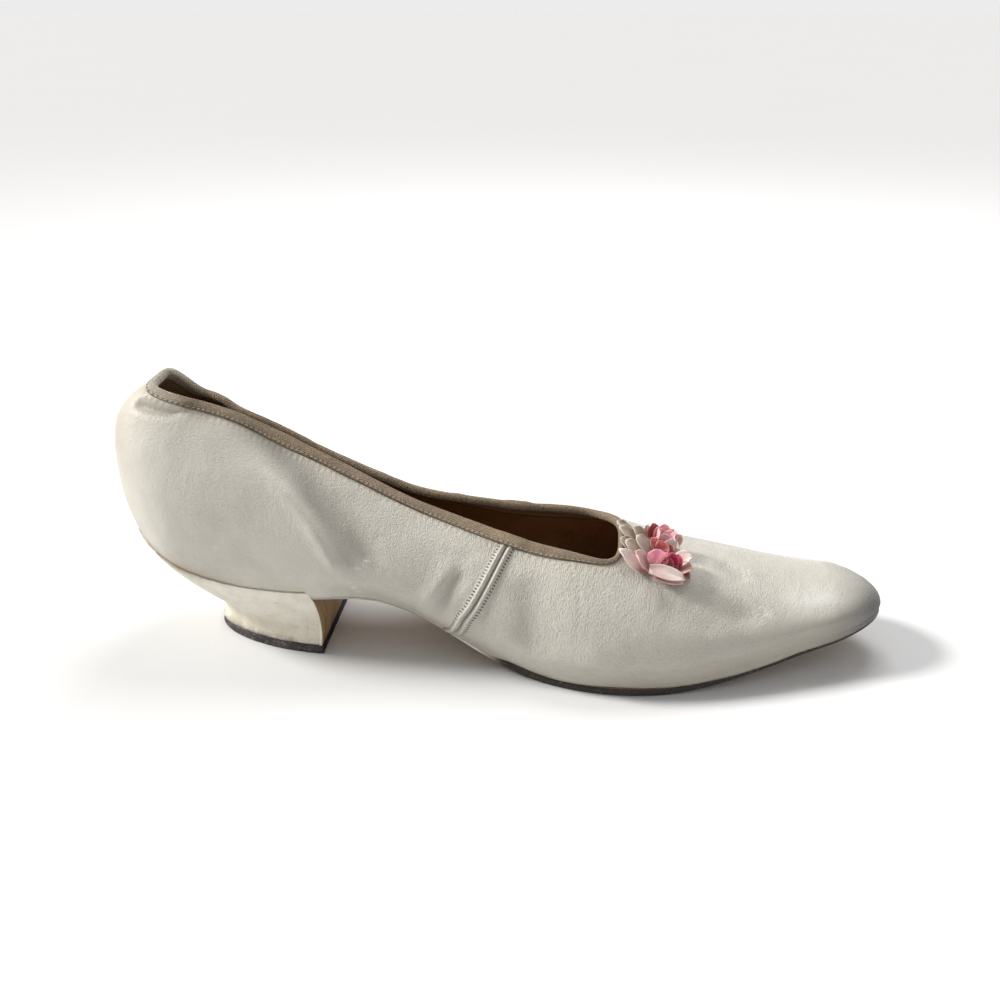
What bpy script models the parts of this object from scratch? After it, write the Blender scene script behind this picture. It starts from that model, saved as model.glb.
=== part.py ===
"""A white kid pump for the right foot: a slack upper on a low curved heel, with two cloth roses.

The shoe is worked out in its own sizes, in metres: x from the back of the heel to the toe, y towards the
inner (medial) side and z up from the floor. An empty then sets the middle of its base on the origin.
"""

import math

import bmesh
import bpy
import numpy as np

# Driving dimensions
LENGTH = 0.248
BALL_WIDTH = 0.072
INSTEP_HEIGHT = 0.038
WALL = 0.0015
GAP = 0.0003

# Bottom line: the height of the feather edge, where the upper meets the sole
SEAT_HEIGHT = 0.0228
SEAT_RISE = 0.0135
SEAT_POWER = 1.7
SEAT_END = 0.286
TREAD_START = 0.597
TREAD_END = 0.718
TOE_SPRING = 0.0125
TOE_SPRING_POWER = 1.3

# Round ends of the plan, as shares of the length, and how the back and the toe curve in side view
HEEL_ROUND = 0.10
TOE_ROUND = 0.075
BACK_SET = 0.0010
BACK_LEAN = 0.0135
BACK_LEAN_POWER = 4.0
BACK_TUCK = 0.0035
BACK_FADE = 0.20
TOE_BULGE = 0.0012
TOE_BULGE_HEIGHT = 0.005

# Front of the opening: where it ends, how long its round end is, and how square each side of it is
THROAT = 0.663
THROAT_FOOT = 0.655
THROAT_ROUND = 0.055
THROAT_SQUARE_LATERAL = 4.0
THROAT_SQUARE_MEDIAL = 2.4

# Side seams, raised bands that lean forward as they rise
SEAM_FOOT = 0.4485
SEAM_TOP = 0.5255
SEAM_WIDTH = 0.0042
SEAM_STEP_WIDTH = 0.0005
SEAM_HEIGHT = 0.0005

# Tape folded over the edge of the opening
TAPE = 0.0005
TAPE_OUTSIDE = 0.0038
TAPE_INSIDE = 0.0034

# Sole, with the flap that it sends down the front of the heel, and insole
SOLE = 0.0026
SOLE_LIP = 0.0005
SOLE_START = 0.27
WAIST_SOLE = 0.0022
WAIST_END = 0.52
TOE_SOLE = 0.0018
FLAP = 0.0012
INSOLE = 0.0018
INSOLE_MARGIN = 0.0004

# Heel and its top lift
LIFT = 0.0029
LIFT_LIP = 0.0005
LIFT_FRONT = 0.0697
LIFT_LENGTH = 0.0400
LIFT_WIDTH = 0.0405
LIFT_CENTRE = -0.0027
LIFT_SQUARE = 1.8
BREAST_LEAN = 0.0020
SEAT_LIP = 0.0004

# Roses
ROSE_RADIUS = 0.0056
ROSE_HEIGHT = 0.0058

# Sections of the upper, heel to toe. at is a share of LENGTH. lateral and medial are the widest lines'
# distances from the long axis, crest the crown line's, and tuck how far the feather edge lies inside the
# widest line, as shares of BALL_WIDTH. rise is the widest line's height and crown the crest's, both over
# the feather edge, as shares of INSTEP_HEIGHT. full is how far the wall swells: 0.55 is an ellipse.
SECTIONS = [
    dict(at=0.000, lateral=0.290, medial=0.290, crest=0.000, tuck=0.035, rise=0.57, crown=1.50, full=0.45),
    dict(at=0.080, lateral=0.354, medial=0.333, crest=0.000, tuck=0.035, rise=0.50, crown=1.38, full=0.45),
    dict(at=0.180, lateral=0.389, medial=0.340, crest=-0.014, tuck=0.042, rise=0.45, crown=1.33, full=0.42),
    dict(at=0.280, lateral=0.396, medial=0.313, crest=-0.035, tuck=0.083, rise=0.38, crown=1.10, full=0.40),
    dict(at=0.380, lateral=0.403, medial=0.299, crest=-0.049, tuck=0.135, rise=0.34, crown=0.89, full=0.40),
    dict(at=0.480, lateral=0.444, medial=0.333, crest=-0.062, tuck=0.120, rise=0.32, crown=1.04, full=0.42),
    dict(at=0.585, lateral=0.518, medial=0.417, crest=-0.069, tuck=0.049, rise=0.24, crown=1.12, full=0.48),
    dict(at=0.665, lateral=0.542, medial=0.465, crest=-0.069, tuck=0.028, rise=0.21, crown=0.98, full=0.51),
    dict(at=0.745, lateral=0.500, medial=0.451, crest=-0.056, tuck=0.025, rise=0.20, crown=0.80, full=0.52),
    dict(at=0.827, lateral=0.400, medial=0.389, crest=-0.028, tuck=0.021, rise=0.18, crown=0.59, full=0.52),
    dict(at=0.907, lateral=0.278, medial=0.299, crest=0.000, tuck=0.017, rise=0.16, crown=0.41, full=0.54),
    dict(at=1.000, lateral=0.180, medial=0.200, crest=0.000, tuck=0.014, rise=0.12, crown=0.30, full=0.55),
]

# Half width of the opening on each side of the crest, as shares of BALL_WIDTH, and how much lower than the
# lateral quarter the slack medial quarter hangs, as a share of INSTEP_HEIGHT.
OPENING = [
    dict(at=0.000, lateral=0.170, medial=0.170, drop=0.00),
    dict(at=0.080, lateral=0.115, medial=0.125, drop=0.00),
    dict(at=0.180, lateral=0.070, medial=0.100, drop=0.07),
    dict(at=0.280, lateral=0.062, medial=0.100, drop=0.09),
    dict(at=0.380, lateral=0.075, medial=0.095, drop=0.05),
    dict(at=0.480, lateral=0.130, medial=0.140, drop=0.00),
    dict(at=0.600, lateral=0.215, medial=0.245, drop=0.00),
    dict(at=0.700, lateral=0.225, medial=0.265, drop=0.00),
]

# Heel, from its seat down to its lift: how much of the way from the seat's outline to the lift's its cover
# has come in, and how much narrower than that it is
HEEL_CURVE = [
    dict(down=0.00, inward=0.00, pinch=0.000),
    dict(down=0.20, inward=0.14, pinch=0.050),
    dict(down=0.44, inward=0.44, pinch=0.090),
    dict(down=0.59, inward=0.70, pinch=0.100),
    dict(down=0.72, inward=0.94, pinch=0.090),
    dict(down=0.82, inward=1.05, pinch=0.070),
    dict(down=0.90, inward=1.09, pinch=0.050),
    dict(down=1.00, inward=1.04, pinch=0.020),
]

# Edge of the sole, from its upper face down, as shares of its thickness and of SOLE_LIP
SOLE_EDGE = [
    dict(down=0.00, out=0.60),
    dict(down=0.30, out=1.00),
    dict(down=0.70, out=1.00),
    dict(down=1.00, out=0.20),
]

# Edge of the lift, from the floor up, as shares of its thickness and of LIFT_LIP
LIFT_EDGE = [
    dict(up=0.00, inset=0.7),
    dict(up=0.15, inset=0.0),
    dict(up=0.90, inset=0.0),
    dict(up=1.00, inset=0.5),
]

# Where the roses sit on the vamp, their turn in degrees, and their size as a share of the rose's
ROSES = [
    dict(name="rose_far", at=0.709, climb=1.000, turn=10, size=0.98),
    dict(name="rose_near", at=0.714, climb=0.815, turn=50, size=1.04),
]

# Section of a rose from its middle out over its rings of petals and back under them. out is a share of
# ROSE_RADIUS and up of ROSE_HEIGHT, lobes is how many petals wave there, wave by how much of out and
# lift by how much of ROSE_HEIGHT.
ROSE_SECTION = [
    dict(out=0.07, up=0.88, lobes=3, wave=0.00, lift=0.00),
    dict(out=0.16, up=1.00, lobes=3, wave=0.10, lift=0.02),
    dict(out=0.23, up=0.96, lobes=3, wave=0.12, lift=0.03),
    dict(out=0.27, up=0.74, lobes=3, wave=0.10, lift=0.02),
    dict(out=0.40, up=0.88, lobes=4, wave=0.08, lift=0.05),
    dict(out=0.48, up=0.85, lobes=4, wave=0.08, lift=0.05),
    dict(out=0.50, up=0.58, lobes=4, wave=0.05, lift=0.02),
    dict(out=0.72, up=0.66, lobes=5, wave=0.07, lift=0.07),
    dict(out=0.80, up=0.60, lobes=5, wave=0.08, lift=0.07),
    dict(out=0.74, up=0.36, lobes=5, wave=0.05, lift=0.04),
    dict(out=0.93, up=0.34, lobes=6, wave=0.07, lift=0.08),
    dict(out=1.00, up=0.26, lobes=6, wave=0.08, lift=0.08),
    dict(out=0.80, up=0.08, lobes=6, wave=0.05, lift=0.02),
    dict(out=0.55, up=0.00, lobes=6, wave=0.00, lift=0.00),
]

# How finely the faceted solids are cut
LOW_SHARE = 0.3
LOW_LEVELS = 3
HIGH_LEVELS = 8
HEEL_LINES = 8
QUARTER_LINES = 10
INSTEP_LINES = 4
THROAT_LINES = 7
VAMP_LINES = 8
TOE_LINES = 7
LINE_SWING = 0.012
HEEL_COLUMNS = 14
HEEL_LEVELS = 9
FLAP_LEVELS = 4
ROSE_POINTS = 30
SHARP_ANGLE = math.radians(40)
QUARTER_TURN = math.pi / 2
LEAST_TURN = 1e-4
LEAST_SIZE = 1e-9


def natural_spline(rows, key, column):
    """A smooth function through one column of a table, as a natural cubic spline over its key."""
    x = np.array([row[key] for row in rows])
    y = np.array([row[column] for row in rows])
    h = np.diff(x)
    count = len(x)
    system = np.eye(count)
    right = np.zeros(count)
    for i in range(1, count - 1):
        system[i, i - 1 : i + 2] = h[i - 1], 2 * (h[i - 1] + h[i]), h[i]
        right[i] = 6 * ((y[i + 1] - y[i]) / h[i] - (y[i] - y[i - 1]) / h[i - 1])
    bend = np.linalg.solve(system, right)

    def value(at):
        at = np.clip(np.asarray(at, float), x[0], x[-1])
        i = np.clip(np.searchsorted(x, at, side="right") - 1, 0, count - 2)
        past = at - x[i]
        ahead = x[i + 1] - at
        curve = (bend[i] * ahead**3 + bend[i + 1] * past**3) / (6 * h[i])
        before = (y[i] / h[i] - bend[i] * h[i] / 6) * ahead
        after = (y[i + 1] / h[i] - bend[i + 1] * h[i] / 6) * past
        return curve + before + after

    return value


SECTION = {name: natural_spline(SECTIONS, "at", name) for name in SECTIONS[0] if name != "at"}
OPEN = {name: natural_spline(OPENING, "at", name) for name in OPENING[0] if name != "at"}
HEEL = {name: natural_spline(HEEL_CURVE, "down", name) for name in HEEL_CURVE[0] if name != "down"}


def round_end(share, square=2.0):
    """1 away from an end, falling to 0 at it as a quarter (super)ellipse; share is 0 at the end."""
    share = np.clip(share, 0, 1)
    return (1 - (1 - share) ** square) ** (1 / square)


def ease(share):
    """Runs from 0 to 1 with no slope or bend at either end."""
    share = np.clip(share, 0, 1)
    return share**3 * (10 - 15 * share + 6 * share**2)


def by_side(side, lateral, medial):
    return np.where(np.asarray(side) < 0, lateral, medial)


def tread_height(at):
    """Height over the floor of a sole as thick as SOLE all along: 0 on the tread."""
    at = np.asarray(at, float)
    waist = (SEAT_HEIGHT - SOLE) * ease((TREAD_START - at) / (TREAD_START - SEAT_END))
    seat = SEAT_RISE * np.clip((SEAT_END - at) / SEAT_END, 0, 1) ** SEAT_POWER
    toe = TOE_SPRING * np.clip((at - TREAD_END) / (1 - TREAD_END), 0, 1) ** TOE_SPRING_POWER
    return waist + seat + toe


def feather_height(at):
    return SOLE + tread_height(at)


def arch(share, full):
    """A wall's curve, from (1, 0) at the widest line to (0, 1) at the crest, as a cubic curve."""
    rest = 1 - share
    across = rest**3 + 3 * rest**2 * share + 3 * full * rest * share**2
    up = 3 * full * rest**2 * share + 3 * rest * share**2 + share**3
    return across, up


def arch_share(across, full):
    """How far along the arch its distance from the crest has fallen to across."""
    low = np.zeros_like(across)
    high = np.ones_like(across)
    for _ in range(40):
        middle = (low + high) / 2
        beyond = arch(middle, full)[0] > across
        low = np.where(beyond, middle, low)
        high = np.where(beyond, high, middle)
    return (low + high) / 2


def collar_share(at, side):
    """How far up the arch the edge of the opening lies: 1, the crest, from the throat on."""
    inside = np.minimum(at, THROAT)
    square = by_side(side, THROAT_SQUARE_LATERAL, THROAT_SQUARE_MEDIAL)
    half = by_side(side, OPEN["lateral"](inside), OPEN["medial"](inside))
    half = half * round_end((THROAT - inside) / THROAT_ROUND, square)
    reach = by_side(side, SECTION["lateral"](at), SECTION["medial"](at)) - side * SECTION["crest"](at)
    share = arch_share(np.clip(half / reach, 0, 1), SECTION["full"](at))
    return np.where(at < THROAT, share, 1.0)


def face(at, side, climb):
    """Points of the upper's outer face, as if it had no opening. climb runs from 0 at the feather edge
    over LOW_SHARE at the widest line to 1 at the crest."""
    at, side, climb = np.broadcast_arrays(*(np.asarray(v, float) for v in (at, side, climb)))
    toe_end = round_end((1 - at) / TOE_ROUND)
    ends = round_end(at / HEEL_ROUND) * toe_end
    crest = BALL_WIDTH * SECTION["crest"](at) * ends
    widest = side * BALL_WIDTH * by_side(side, SECTION["lateral"](at), SECTION["medial"](at)) * ends
    tuck = BALL_WIDTH * SECTION["tuck"](at) * ends
    rise = INSTEP_HEIGHT * SECTION["rise"](at) * toe_end
    drop = by_side(side, 0, OPEN["drop"](at))
    height = INSTEP_HEIGHT * (SECTION["crown"](at) - drop) * toe_end - rise
    full = SECTION["full"](at)

    # Below the widest line: a round arc, upright where it meets the line
    start = np.maximum(2 * np.arctan2(tuck, rise), LEAST_TURN)
    radius = rise / np.sin(start)
    turn = start * (1 - np.clip(climb / LOW_SHARE, 0, 1))
    low_y = widest - side * radius * (1 - np.cos(turn))
    low_z = rise - radius * np.sin(turn)

    # Above it: the arch
    share = np.clip((climb - LOW_SHARE) / (1 - LOW_SHARE), 0, 1)
    across, over = arch(share, full)
    low = climb < LOW_SHARE
    y = np.where(low, low_y, crest + (widest - crest) * across)
    z = np.where(low, low_z, rise + height * over)

    # The back curves in above and below its widest line, and the toe swells over the feather edge
    collar_height = arch(collar_share(at, side), full)[1]
    under = BACK_TUCK * np.clip(1 - z / np.maximum(rise, LEAST_SIZE), 0, 1) ** 2
    lean = BACK_LEAN * np.clip(over / collar_height, 0, 1.1) ** BACK_LEAN_POWER
    back = (BACK_SET + np.where(low, under, lean)) * (1 - ease(at / BACK_FADE))
    swell = TOE_BULGE * np.sin(np.clip(z / TOE_BULGE_HEIGHT, 0, 1) * QUARTER_TURN)
    x = LENGTH * at + back + swell * ease((at - TREAD_END) / (1 - TREAD_END))
    return np.stack([x, y, feather_height(at) + z], -1)


def skin_climb(at, side, up):
    """Where on the face the upper is for up, which is 0 at the feather edge and 1 at the opening."""
    over = np.clip((np.asarray(up) - LOW_SHARE) / (1 - LOW_SHARE), 0, 1)
    return np.where(up < LOW_SHARE, up, LOW_SHARE + (1 - LOW_SHARE) * over * collar_share(at, side))


def skin(at, side, up):
    """Points of the upper's outer face, cut off at the opening."""
    return face(at, side, skin_climb(at, side, up))


def slopes(at, side, climb):
    """How the face runs with at and with climb, at one point."""
    step = 1e-4
    at = min(max(at, 2 * step), 1 - 2 * step)
    high = min(climb + step, 1.0)
    low = max(climb - step, 0.0)
    along = (face(at + step, side, climb) - face(at - step, side, climb)) / (2 * step)
    climbing = (face(at, side, high) - face(at, side, low)) / (high - low)
    if at <= 2 * step:
        along[0] = climbing[1] = 0
    return along, climbing


def outward(at, side, climb):
    """The face's outward normal at one point."""
    along, climbing = slopes(at, side, climb)
    normal = np.cross(along, climbing) * -side
    return normal / np.linalg.norm(normal)


def walk(at, side, climb, direction, distance, steps=3):
    """Goes a distance over the face in a direction, and gives the point and normal reached."""
    for _ in range(steps):
        along, climbing = slopes(at, side, climb)
        share = np.linalg.lstsq(np.stack([along, climbing], 1), direction * distance / steps, rcond=None)[0]
        at = float(np.clip(at + share[0], 0, 1))
        climb = float(np.clip(climb + share[1], 0, 1))
    return face(at, side, climb), outward(at, side, climb)


def mesh_lines():
    """Lines of the mesh, heel to toe: each one's station at the feather edge and at the opening or crest,
    and whether it is plain, on the raised band of the side seam, or beside that band."""
    half = SEAM_WIDTH / 2 / LENGTH
    step = half + SEAM_STEP_WIDTH / LENGTH
    lines = []
    for i in range(HEEL_LINES):
        at = HEEL_ROUND * (1 - math.cos(QUARTER_TURN * i / HEEL_LINES))
        lines.append((at, at, "plain"))
    for share in np.linspace(0, 1, QUARTER_LINES + 1)[:-1]:
        foot = HEEL_ROUND + (SEAM_FOOT - step - HEEL_ROUND) * share
        top = HEEL_ROUND + (SEAM_TOP - step - HEEL_ROUND) * share
        lines.append((foot, top, "plain"))
    for shift, place in ((-step, "beside"), (-half, "band"), (half, "band"), (step, "beside")):
        lines.append((SEAM_FOOT + shift, SEAM_TOP + shift, place))
    tops = list(np.linspace(SEAM_TOP + step, THROAT - THROAT_ROUND, INSTEP_LINES + 1)[1:-1])
    square = max(THROAT_SQUARE_LATERAL, THROAT_SQUARE_MEDIAL)
    for i in range(THROAT_LINES, 0, -1):
        width = math.sin(QUARTER_TURN * i / THROAT_LINES)
        tops.append(THROAT - THROAT_ROUND * (1 - (1 - width**square) ** (1 / square)))
    feet = np.linspace(SEAM_FOOT + step, THROAT_FOOT, len(tops) + 2)[1:-1]
    lines += [(float(foot), float(top), "plain") for foot, top in zip(feet, tops)]
    for share in np.linspace(0, 1, VAMP_LINES + 1)[:-1]:
        foot = THROAT_FOOT + (1 - TOE_ROUND - THROAT_FOOT) * share
        top = THROAT + (1 - TOE_ROUND - THROAT) * share
        lines.append((foot, top, "plain"))
    for i in range(TOE_LINES + 1):
        at = 1 - TOE_ROUND + TOE_ROUND * math.sin(QUARTER_TURN * i / TOE_LINES)
        lines.append((at, at, "plain"))
    return lines


def line_place(foot, top, side, up):
    """Station and climb of a mesh line at up. The lines swing forward round the front of the opening."""
    swing = ease((top - SEAM_TOP) / (THROAT - SEAM_TOP)) * ease((1 - top) / (1 - THROAT))
    at = foot + (top - foot) * up + LINE_SWING * swing * 4 * up * (1 - up)
    if up < LOW_SHARE:
        return float(at), up
    return float(at), LOW_SHARE + (up - LOW_SHARE) * float(collar_share(top, side))


def material(name, colour, roughness, metallic=0.0):
    made = bpy.data.materials.new(name)
    made.use_nodes = True
    shader = made.node_tree.nodes["Principled BSDF"]
    shader.inputs["Base Color"].default_value = (*colour, 1.0)
    shader.inputs["Roughness"].default_value = roughness
    shader.inputs["Metallic"].default_value = metallic
    return made


def add_object(name, bm, finish, parent):
    """Turns a bmesh into a named object of the shoe."""
    bmesh.ops.recalc_face_normals(bm, faces=bm.faces)
    mesh = bpy.data.meshes.new(name)
    bm.to_mesh(mesh)
    bm.free()
    mesh.materials.append(finish)
    mesh.shade_smooth()
    mesh.set_sharp_from_angle(angle=SHARP_ANGLE)
    made = bpy.data.objects.new(name, mesh)
    bpy.context.scene.collection.objects.link(made)
    made.parent = parent
    return made


def loft(rings, ends="flat"):
    """A closed bmesh through rings of points. The ends are filled by one flat face each, or, for curved
    outlines, by rungs across from an open front (rungs) or from a point (fan), or joined up (round)."""
    bm = bmesh.new()
    loops = [[bm.verts.new(point) for point in ring] for ring in rings]
    count = len(loops[0])
    following = loops[1:] + loops[:1] if ends == "round" else loops[1:]
    for loop, after in zip(loops, following):
        for i in range(count):
            j = (i + 1) % count
            bm.faces.new((loop[i], loop[j], after[j], after[i]))
    if ends == "flat":
        bm.faces.new(loops[0])
        bm.faces.new(loops[-1])
    if ends in ("rungs", "fan"):
        first = -1 if ends == "rungs" else 0
        for loop in (loops[0], loops[-1]):
            for i in range(count // 2):
                corners = (loop[i], loop[i + 1], loop[(first - i - 1) % count], loop[(first - i) % count])
                bm.faces.new(list(dict.fromkeys(corners)))
    return bm


def make_upper(finish, parent):
    """Vamp and quarters as one wall, open at the collar and at the feather edge."""
    low = np.linspace(0, LOW_SHARE, LOW_LEVELS + 1)[:-1]
    high = np.linspace(LOW_SHARE, 1, HIGH_LEVELS + 1)
    levels = [*low, *high]
    bm = bmesh.new()
    for side in (-1, 1):
        grid = []
        for foot, top, place in mesh_lines():
            column = []
            for up in levels:
                at, climb = line_place(foot, top, side, up)
                point = face(at, side, climb)
                if place == "band" and up > 0:
                    point = point + SEAM_HEIGHT * outward(at, side, climb)
                column.append(bm.verts.new(point))
            grid.append(column)
        for line, after in zip(grid, grid[1:]):
            for i in range(len(levels) - 1):
                bm.faces.new((line[i], after[i], after[i + 1], line[i + 1]))
    bmesh.ops.remove_doubles(bm, verts=bm.verts, dist=1e-5)
    made = add_object("upper", bm, finish, parent)
    wall = made.modifiers.new("wall", "SOLIDIFY")
    wall.thickness = WALL
    wall.offset = -1
    wall.use_even_offset = True
    return made


def collar_edge():
    """The edge of the opening all round, from the back along the lateral side to the throat and back
    along the medial side: stations, sides, and how high the seam lifts the tape there."""
    lifts = {"plain": 0.0, "beside": SEAM_HEIGHT, "band": SEAM_HEIGHT}
    lines = [(top, lifts[place]) for _, top, place in mesh_lines() if top < THROAT]
    lateral = [(at, -1, lift) for at, lift in lines]
    medial = [(at, 1, lift) for at, lift in reversed(lines[1:])]
    return lateral + [(THROAT, -1, 0.0)] + medial


def make_binding(finish, parent):
    """The tape folded over the edge of the opening, as a channel all round."""
    edge = collar_edge()
    points = [skin(at, side, 1.0) for at, side, _ in edge]
    rings = []
    for i, (at, side, lift) in enumerate(edge):
        climb = float(skin_climb(at, side, 1.0))
        normal = outward(at, side, climb)
        over = np.cross(normal, points[(i + 1) % len(edge)] - points[i - 1])
        over /= np.linalg.norm(over)
        outside = [walk(at, side, climb, -over, TAPE_OUTSIDE * share) for share in (0.5, 1.0)]
        inside = [walk(at, side, climb, -over, TAPE_INSIDE * share) for share in (0.5, 1.0)]
        out_near = GAP + lift
        out_far = out_near + TAPE
        in_near = -WALL - GAP
        in_far = in_near - TAPE
        ring = [point + n * out_near for point, n in reversed(outside)]
        ring.append(points[i] + normal * out_near + over * GAP)
        ring.append(points[i] + normal * in_near + over * GAP)
        ring += [point + n * in_near for point, n in inside]
        ring += [point + n * in_far for point, n in reversed(inside)]
        ring.append(points[i] + normal * in_far + over * (GAP + TAPE))
        ring.append(points[i] + normal * out_far + over * (GAP + TAPE))
        ring += [point + n * out_far for point, n in outside]
        rings.append(ring)
    return add_object("binding", loft(rings, ends="round"), finish, parent)


def feather_outline(stations, offset):
    """The feather edge in plan, moved outwards: along the lateral side to the stations' last one, an end
    of the shoe, and back along the medial side."""
    stations = np.array(stations)
    ring = np.concatenate([skin(stations, -1, 0.0)[:, :2], skin(stations[-2::-1], 1, 0.0)[:, :2]])
    run = np.gradient(ring, axis=0)
    run[len(stations) - 1, 0] = 0
    run[0, 0] *= min(float(stations[0]), 1.0) > 0
    towards = 1 if stations[-1] > stations[0] else -1
    normal = np.stack([run[:, 1], -run[:, 0]], 1) * towards
    normal /= np.linalg.norm(normal, axis=1)[:, None]
    return ring + offset * normal


def there_and_back(values):
    """Values for the lateral side, from an open front to an end, followed by those for the medial side."""
    return [*values, *values[-2::-1]]


def sole_thickness(at):
    """The sole is full on the tread, and thinner under the waist and towards the toe."""
    full = SOLE - GAP
    waist = (WAIST_SOLE - full) * (1 - ease((at - SOLE_START) / (WAIST_END - SOLE_START)))
    toe = (TOE_SOLE - full) * ease((at - TREAD_END) / (1 - TREAD_END))
    return full + waist + toe


def make_outsole(finish, parent):
    """The sole from the toe over the waist, and its flap down the front of the heel."""
    stations = [SOLE_START] + [foot for foot, _, _ in mesh_lines() if foot > SOLE_START + 0.01]
    heights = feather_height(np.array(stations))
    slope = np.gradient(heights, LENGTH * np.array(stations))
    slope[heights < SOLE + GAP] = 0
    thick = sole_thickness(np.array(stations))
    steep = np.hypot(slope, 1)
    rings = []
    for row in SOLE_EDGE:
        forward = there_and_back(list(slope / steep * thick * row["down"]))
        under = there_and_back(list(heights - GAP - thick * row["down"] / steep))
        plan = feather_outline(stations, row["out"] * SOLE_LIP)
        sole = [(x + dx, y, z) for (x, y), dx, z in zip(plan, forward, under)]
        rings.append(flap_side(row, sole[0], -1) + sole + flap_side(row, sole[-1], 1)[::-1])
    return add_object("outsole", loft(rings, ends="rungs"), finish, parent)


def flap_side(row, sole_corner, side):
    """One side of the flap from its foot up to the waist, at one level of the sole's edge."""
    half = LIFT_WIDTH / 2 - LIFT_LIP - (1 - row["out"]) * SOLE_LIP
    foot_x = LIFT_FRONT - LIFT_LIP - FLAP * (1 - row["down"])
    foot = np.array([foot_x, LIFT_CENTRE + side * half, LIFT + GAP])
    head_x = LIFT_FRONT - BREAST_LEAN - FLAP * (1 - row["down"])
    head = np.array([head_x, sole_corner[1], sole_corner[2]])
    shares = np.linspace(0, 1, FLAP_LEVELS + 1)[:-1]
    return [tuple(foot + (head - foot) * share) for share in shares]


def heel_shares():
    """Shares of the heel's length from its front, 1, to its back, 0, closer towards the back."""
    shares = [math.cos(QUARTER_TURN * i / HEEL_COLUMNS) for i in range(HEEL_COLUMNS)]
    return [*shares, 0.0]


def lift_outline(inset):
    """The lift in plan: from its lateral front corner round the back to the medial one."""
    half = LIFT_WIDTH / 2 - inset
    length = LIFT_LENGTH - 2 * inset
    x = [LIFT_FRONT - inset - length * (1 - share) for share in heel_shares()]
    y = [half * float(round_end(share, LIFT_SQUARE)) for share in heel_shares()]
    lateral = [(a, LIFT_CENTRE - b) for a, b in zip(x, y)]
    medial = [(a, LIFT_CENTRE + b) for a, b in zip(x, y)]
    return lateral + medial[-2::-1]


def make_lift(finish, parent):
    """The top lift under the heel."""
    rings = []
    for row in LIFT_EDGE:
        rings.append([(x, y, LIFT * row["up"]) for x, y in lift_outline(LIFT_LIP * row["inset"])])
    return add_object("heel_lift", loft(rings, ends="rungs"), finish, parent)


def make_heel(finish, parent):
    """The curved heel, from the seat down to the lift, cut flat in front behind the flap."""
    front_foot = LIFT_FRONT - LIFT_LIP - FLAP - GAP
    front_head = LIFT_FRONT - BREAST_LEAN - FLAP - GAP
    stations = [share * front_head / LENGTH for share in heel_shares()]
    seat = feather_outline(stations, SEAT_LIP)
    lift = lift_outline(LIFT_LIP)
    tops = there_and_back(list(feather_height(np.array(stations)) - GAP))
    foot = LIFT + GAP
    rings = []
    for down in np.linspace(0, 1, HEEL_LEVELS + 1):
        inward = HEEL["inward"](down)
        slim = 1 - HEEL["pinch"](down)
        front = front_head + (front_foot - front_head) * down
        ring = []
        for (seat_x, seat_y), (lift_x, lift_y), top in zip(seat, lift, tops):
            seat_back = seat[0][0] - seat_x
            lift_back = lift[0][0] - lift_x
            y = seat_y + (lift_y - seat_y) * inward
            x = front - seat_back - (lift_back - seat_back) * inward
            ring.append((x, LIFT_CENTRE + (y - LIFT_CENTRE) * slim, top + (foot - top) * down))
        rings.append(ring)
    return add_object("heel", loft(rings, ends="rungs"), finish, parent)


def make_insole(finish, parent):
    """The insole with its sock, inside the wall and on the sole and the seat."""
    stations = [foot for foot, _, _ in mesh_lines()]
    plan = feather_outline(stations, -(WALL + GAP + INSOLE_MARGIN))[:-1]
    heights = there_and_back(list(feather_height(np.array(stations))))[:-1]
    rings = []
    for over in (0.0, INSOLE):
        rings.append([(x, y, z + over) for (x, y), z in zip(plan, heights)])
    return add_object("insole", loft(rings, ends="fan"), finish, parent)


def make_rose(row, finish, parent):
    """A gathered cloth rose on the vamp: a bud in rings of petals."""
    normal = outward(row["at"], -1, row["climb"])
    across = slopes(row["at"], -1, row["climb"])[1]
    across /= np.linalg.norm(across)
    along = np.cross(across, normal)
    base = face(row["at"], -1, row["climb"]) + normal * GAP
    rings = []
    for section in ROSE_SECTION:
        ring = []
        for i in range(ROSE_POINTS):
            angle = 2 * math.pi * i / ROSE_POINTS
            wave = math.cos(section["lobes"] * angle + math.radians(row["turn"]))
            out = ROSE_RADIUS * row["size"] * section["out"] * (1 + section["wave"] * wave)
            up = ROSE_HEIGHT * row["size"] * (section["up"] + section["lift"] * wave)
            point = base + along * out * math.cos(angle) + across * out * math.sin(angle) + normal * up
            ring.append(point)
        rings.append(ring)
    return add_object(row["name"], loft(rings), finish, parent)


def main():
    for old in list(bpy.data.objects):
        bpy.data.objects.remove(old)
    kid = material("white_kid", (0.72, 0.70, 0.65), 0.45)
    tape = material("woven_tape", (0.55, 0.45, 0.33), 0.8)
    sock = material("sock_lining", (0.30, 0.20, 0.12), 0.7)
    leather = material("sole_leather", (0.36, 0.24, 0.12), 0.6)
    dark_leather = material("lift_leather", (0.07, 0.055, 0.05), 0.55)
    covered = material("heel_kid", (0.72, 0.68, 0.59), 0.5)
    rose = material("rose_cloth", (0.80, 0.30, 0.36), 0.85)
    widest = max(row["lateral"] for row in SECTIONS) - max(row["medial"] for row in SECTIONS)
    shoe = bpy.data.objects.new("shoe", None)
    shoe.location = (-(LENGTH + BACK_SET) / 2, BALL_WIDTH * widest / 2, 0)
    bpy.context.scene.collection.objects.link(shoe)
    make_upper(kid, shoe)
    make_binding(tape, shoe)
    make_insole(sock, shoe)
    make_outsole(leather, shoe)
    make_heel(covered, shoe)
    make_lift(dark_leather, shoe)
    for row in ROSES:
        make_rose(row, rose, shoe)


main()
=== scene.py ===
"""A white kid pump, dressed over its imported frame: leather, tape, stitches, soles and two cloth roses."""

import math
from collections import namedtuple

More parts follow.
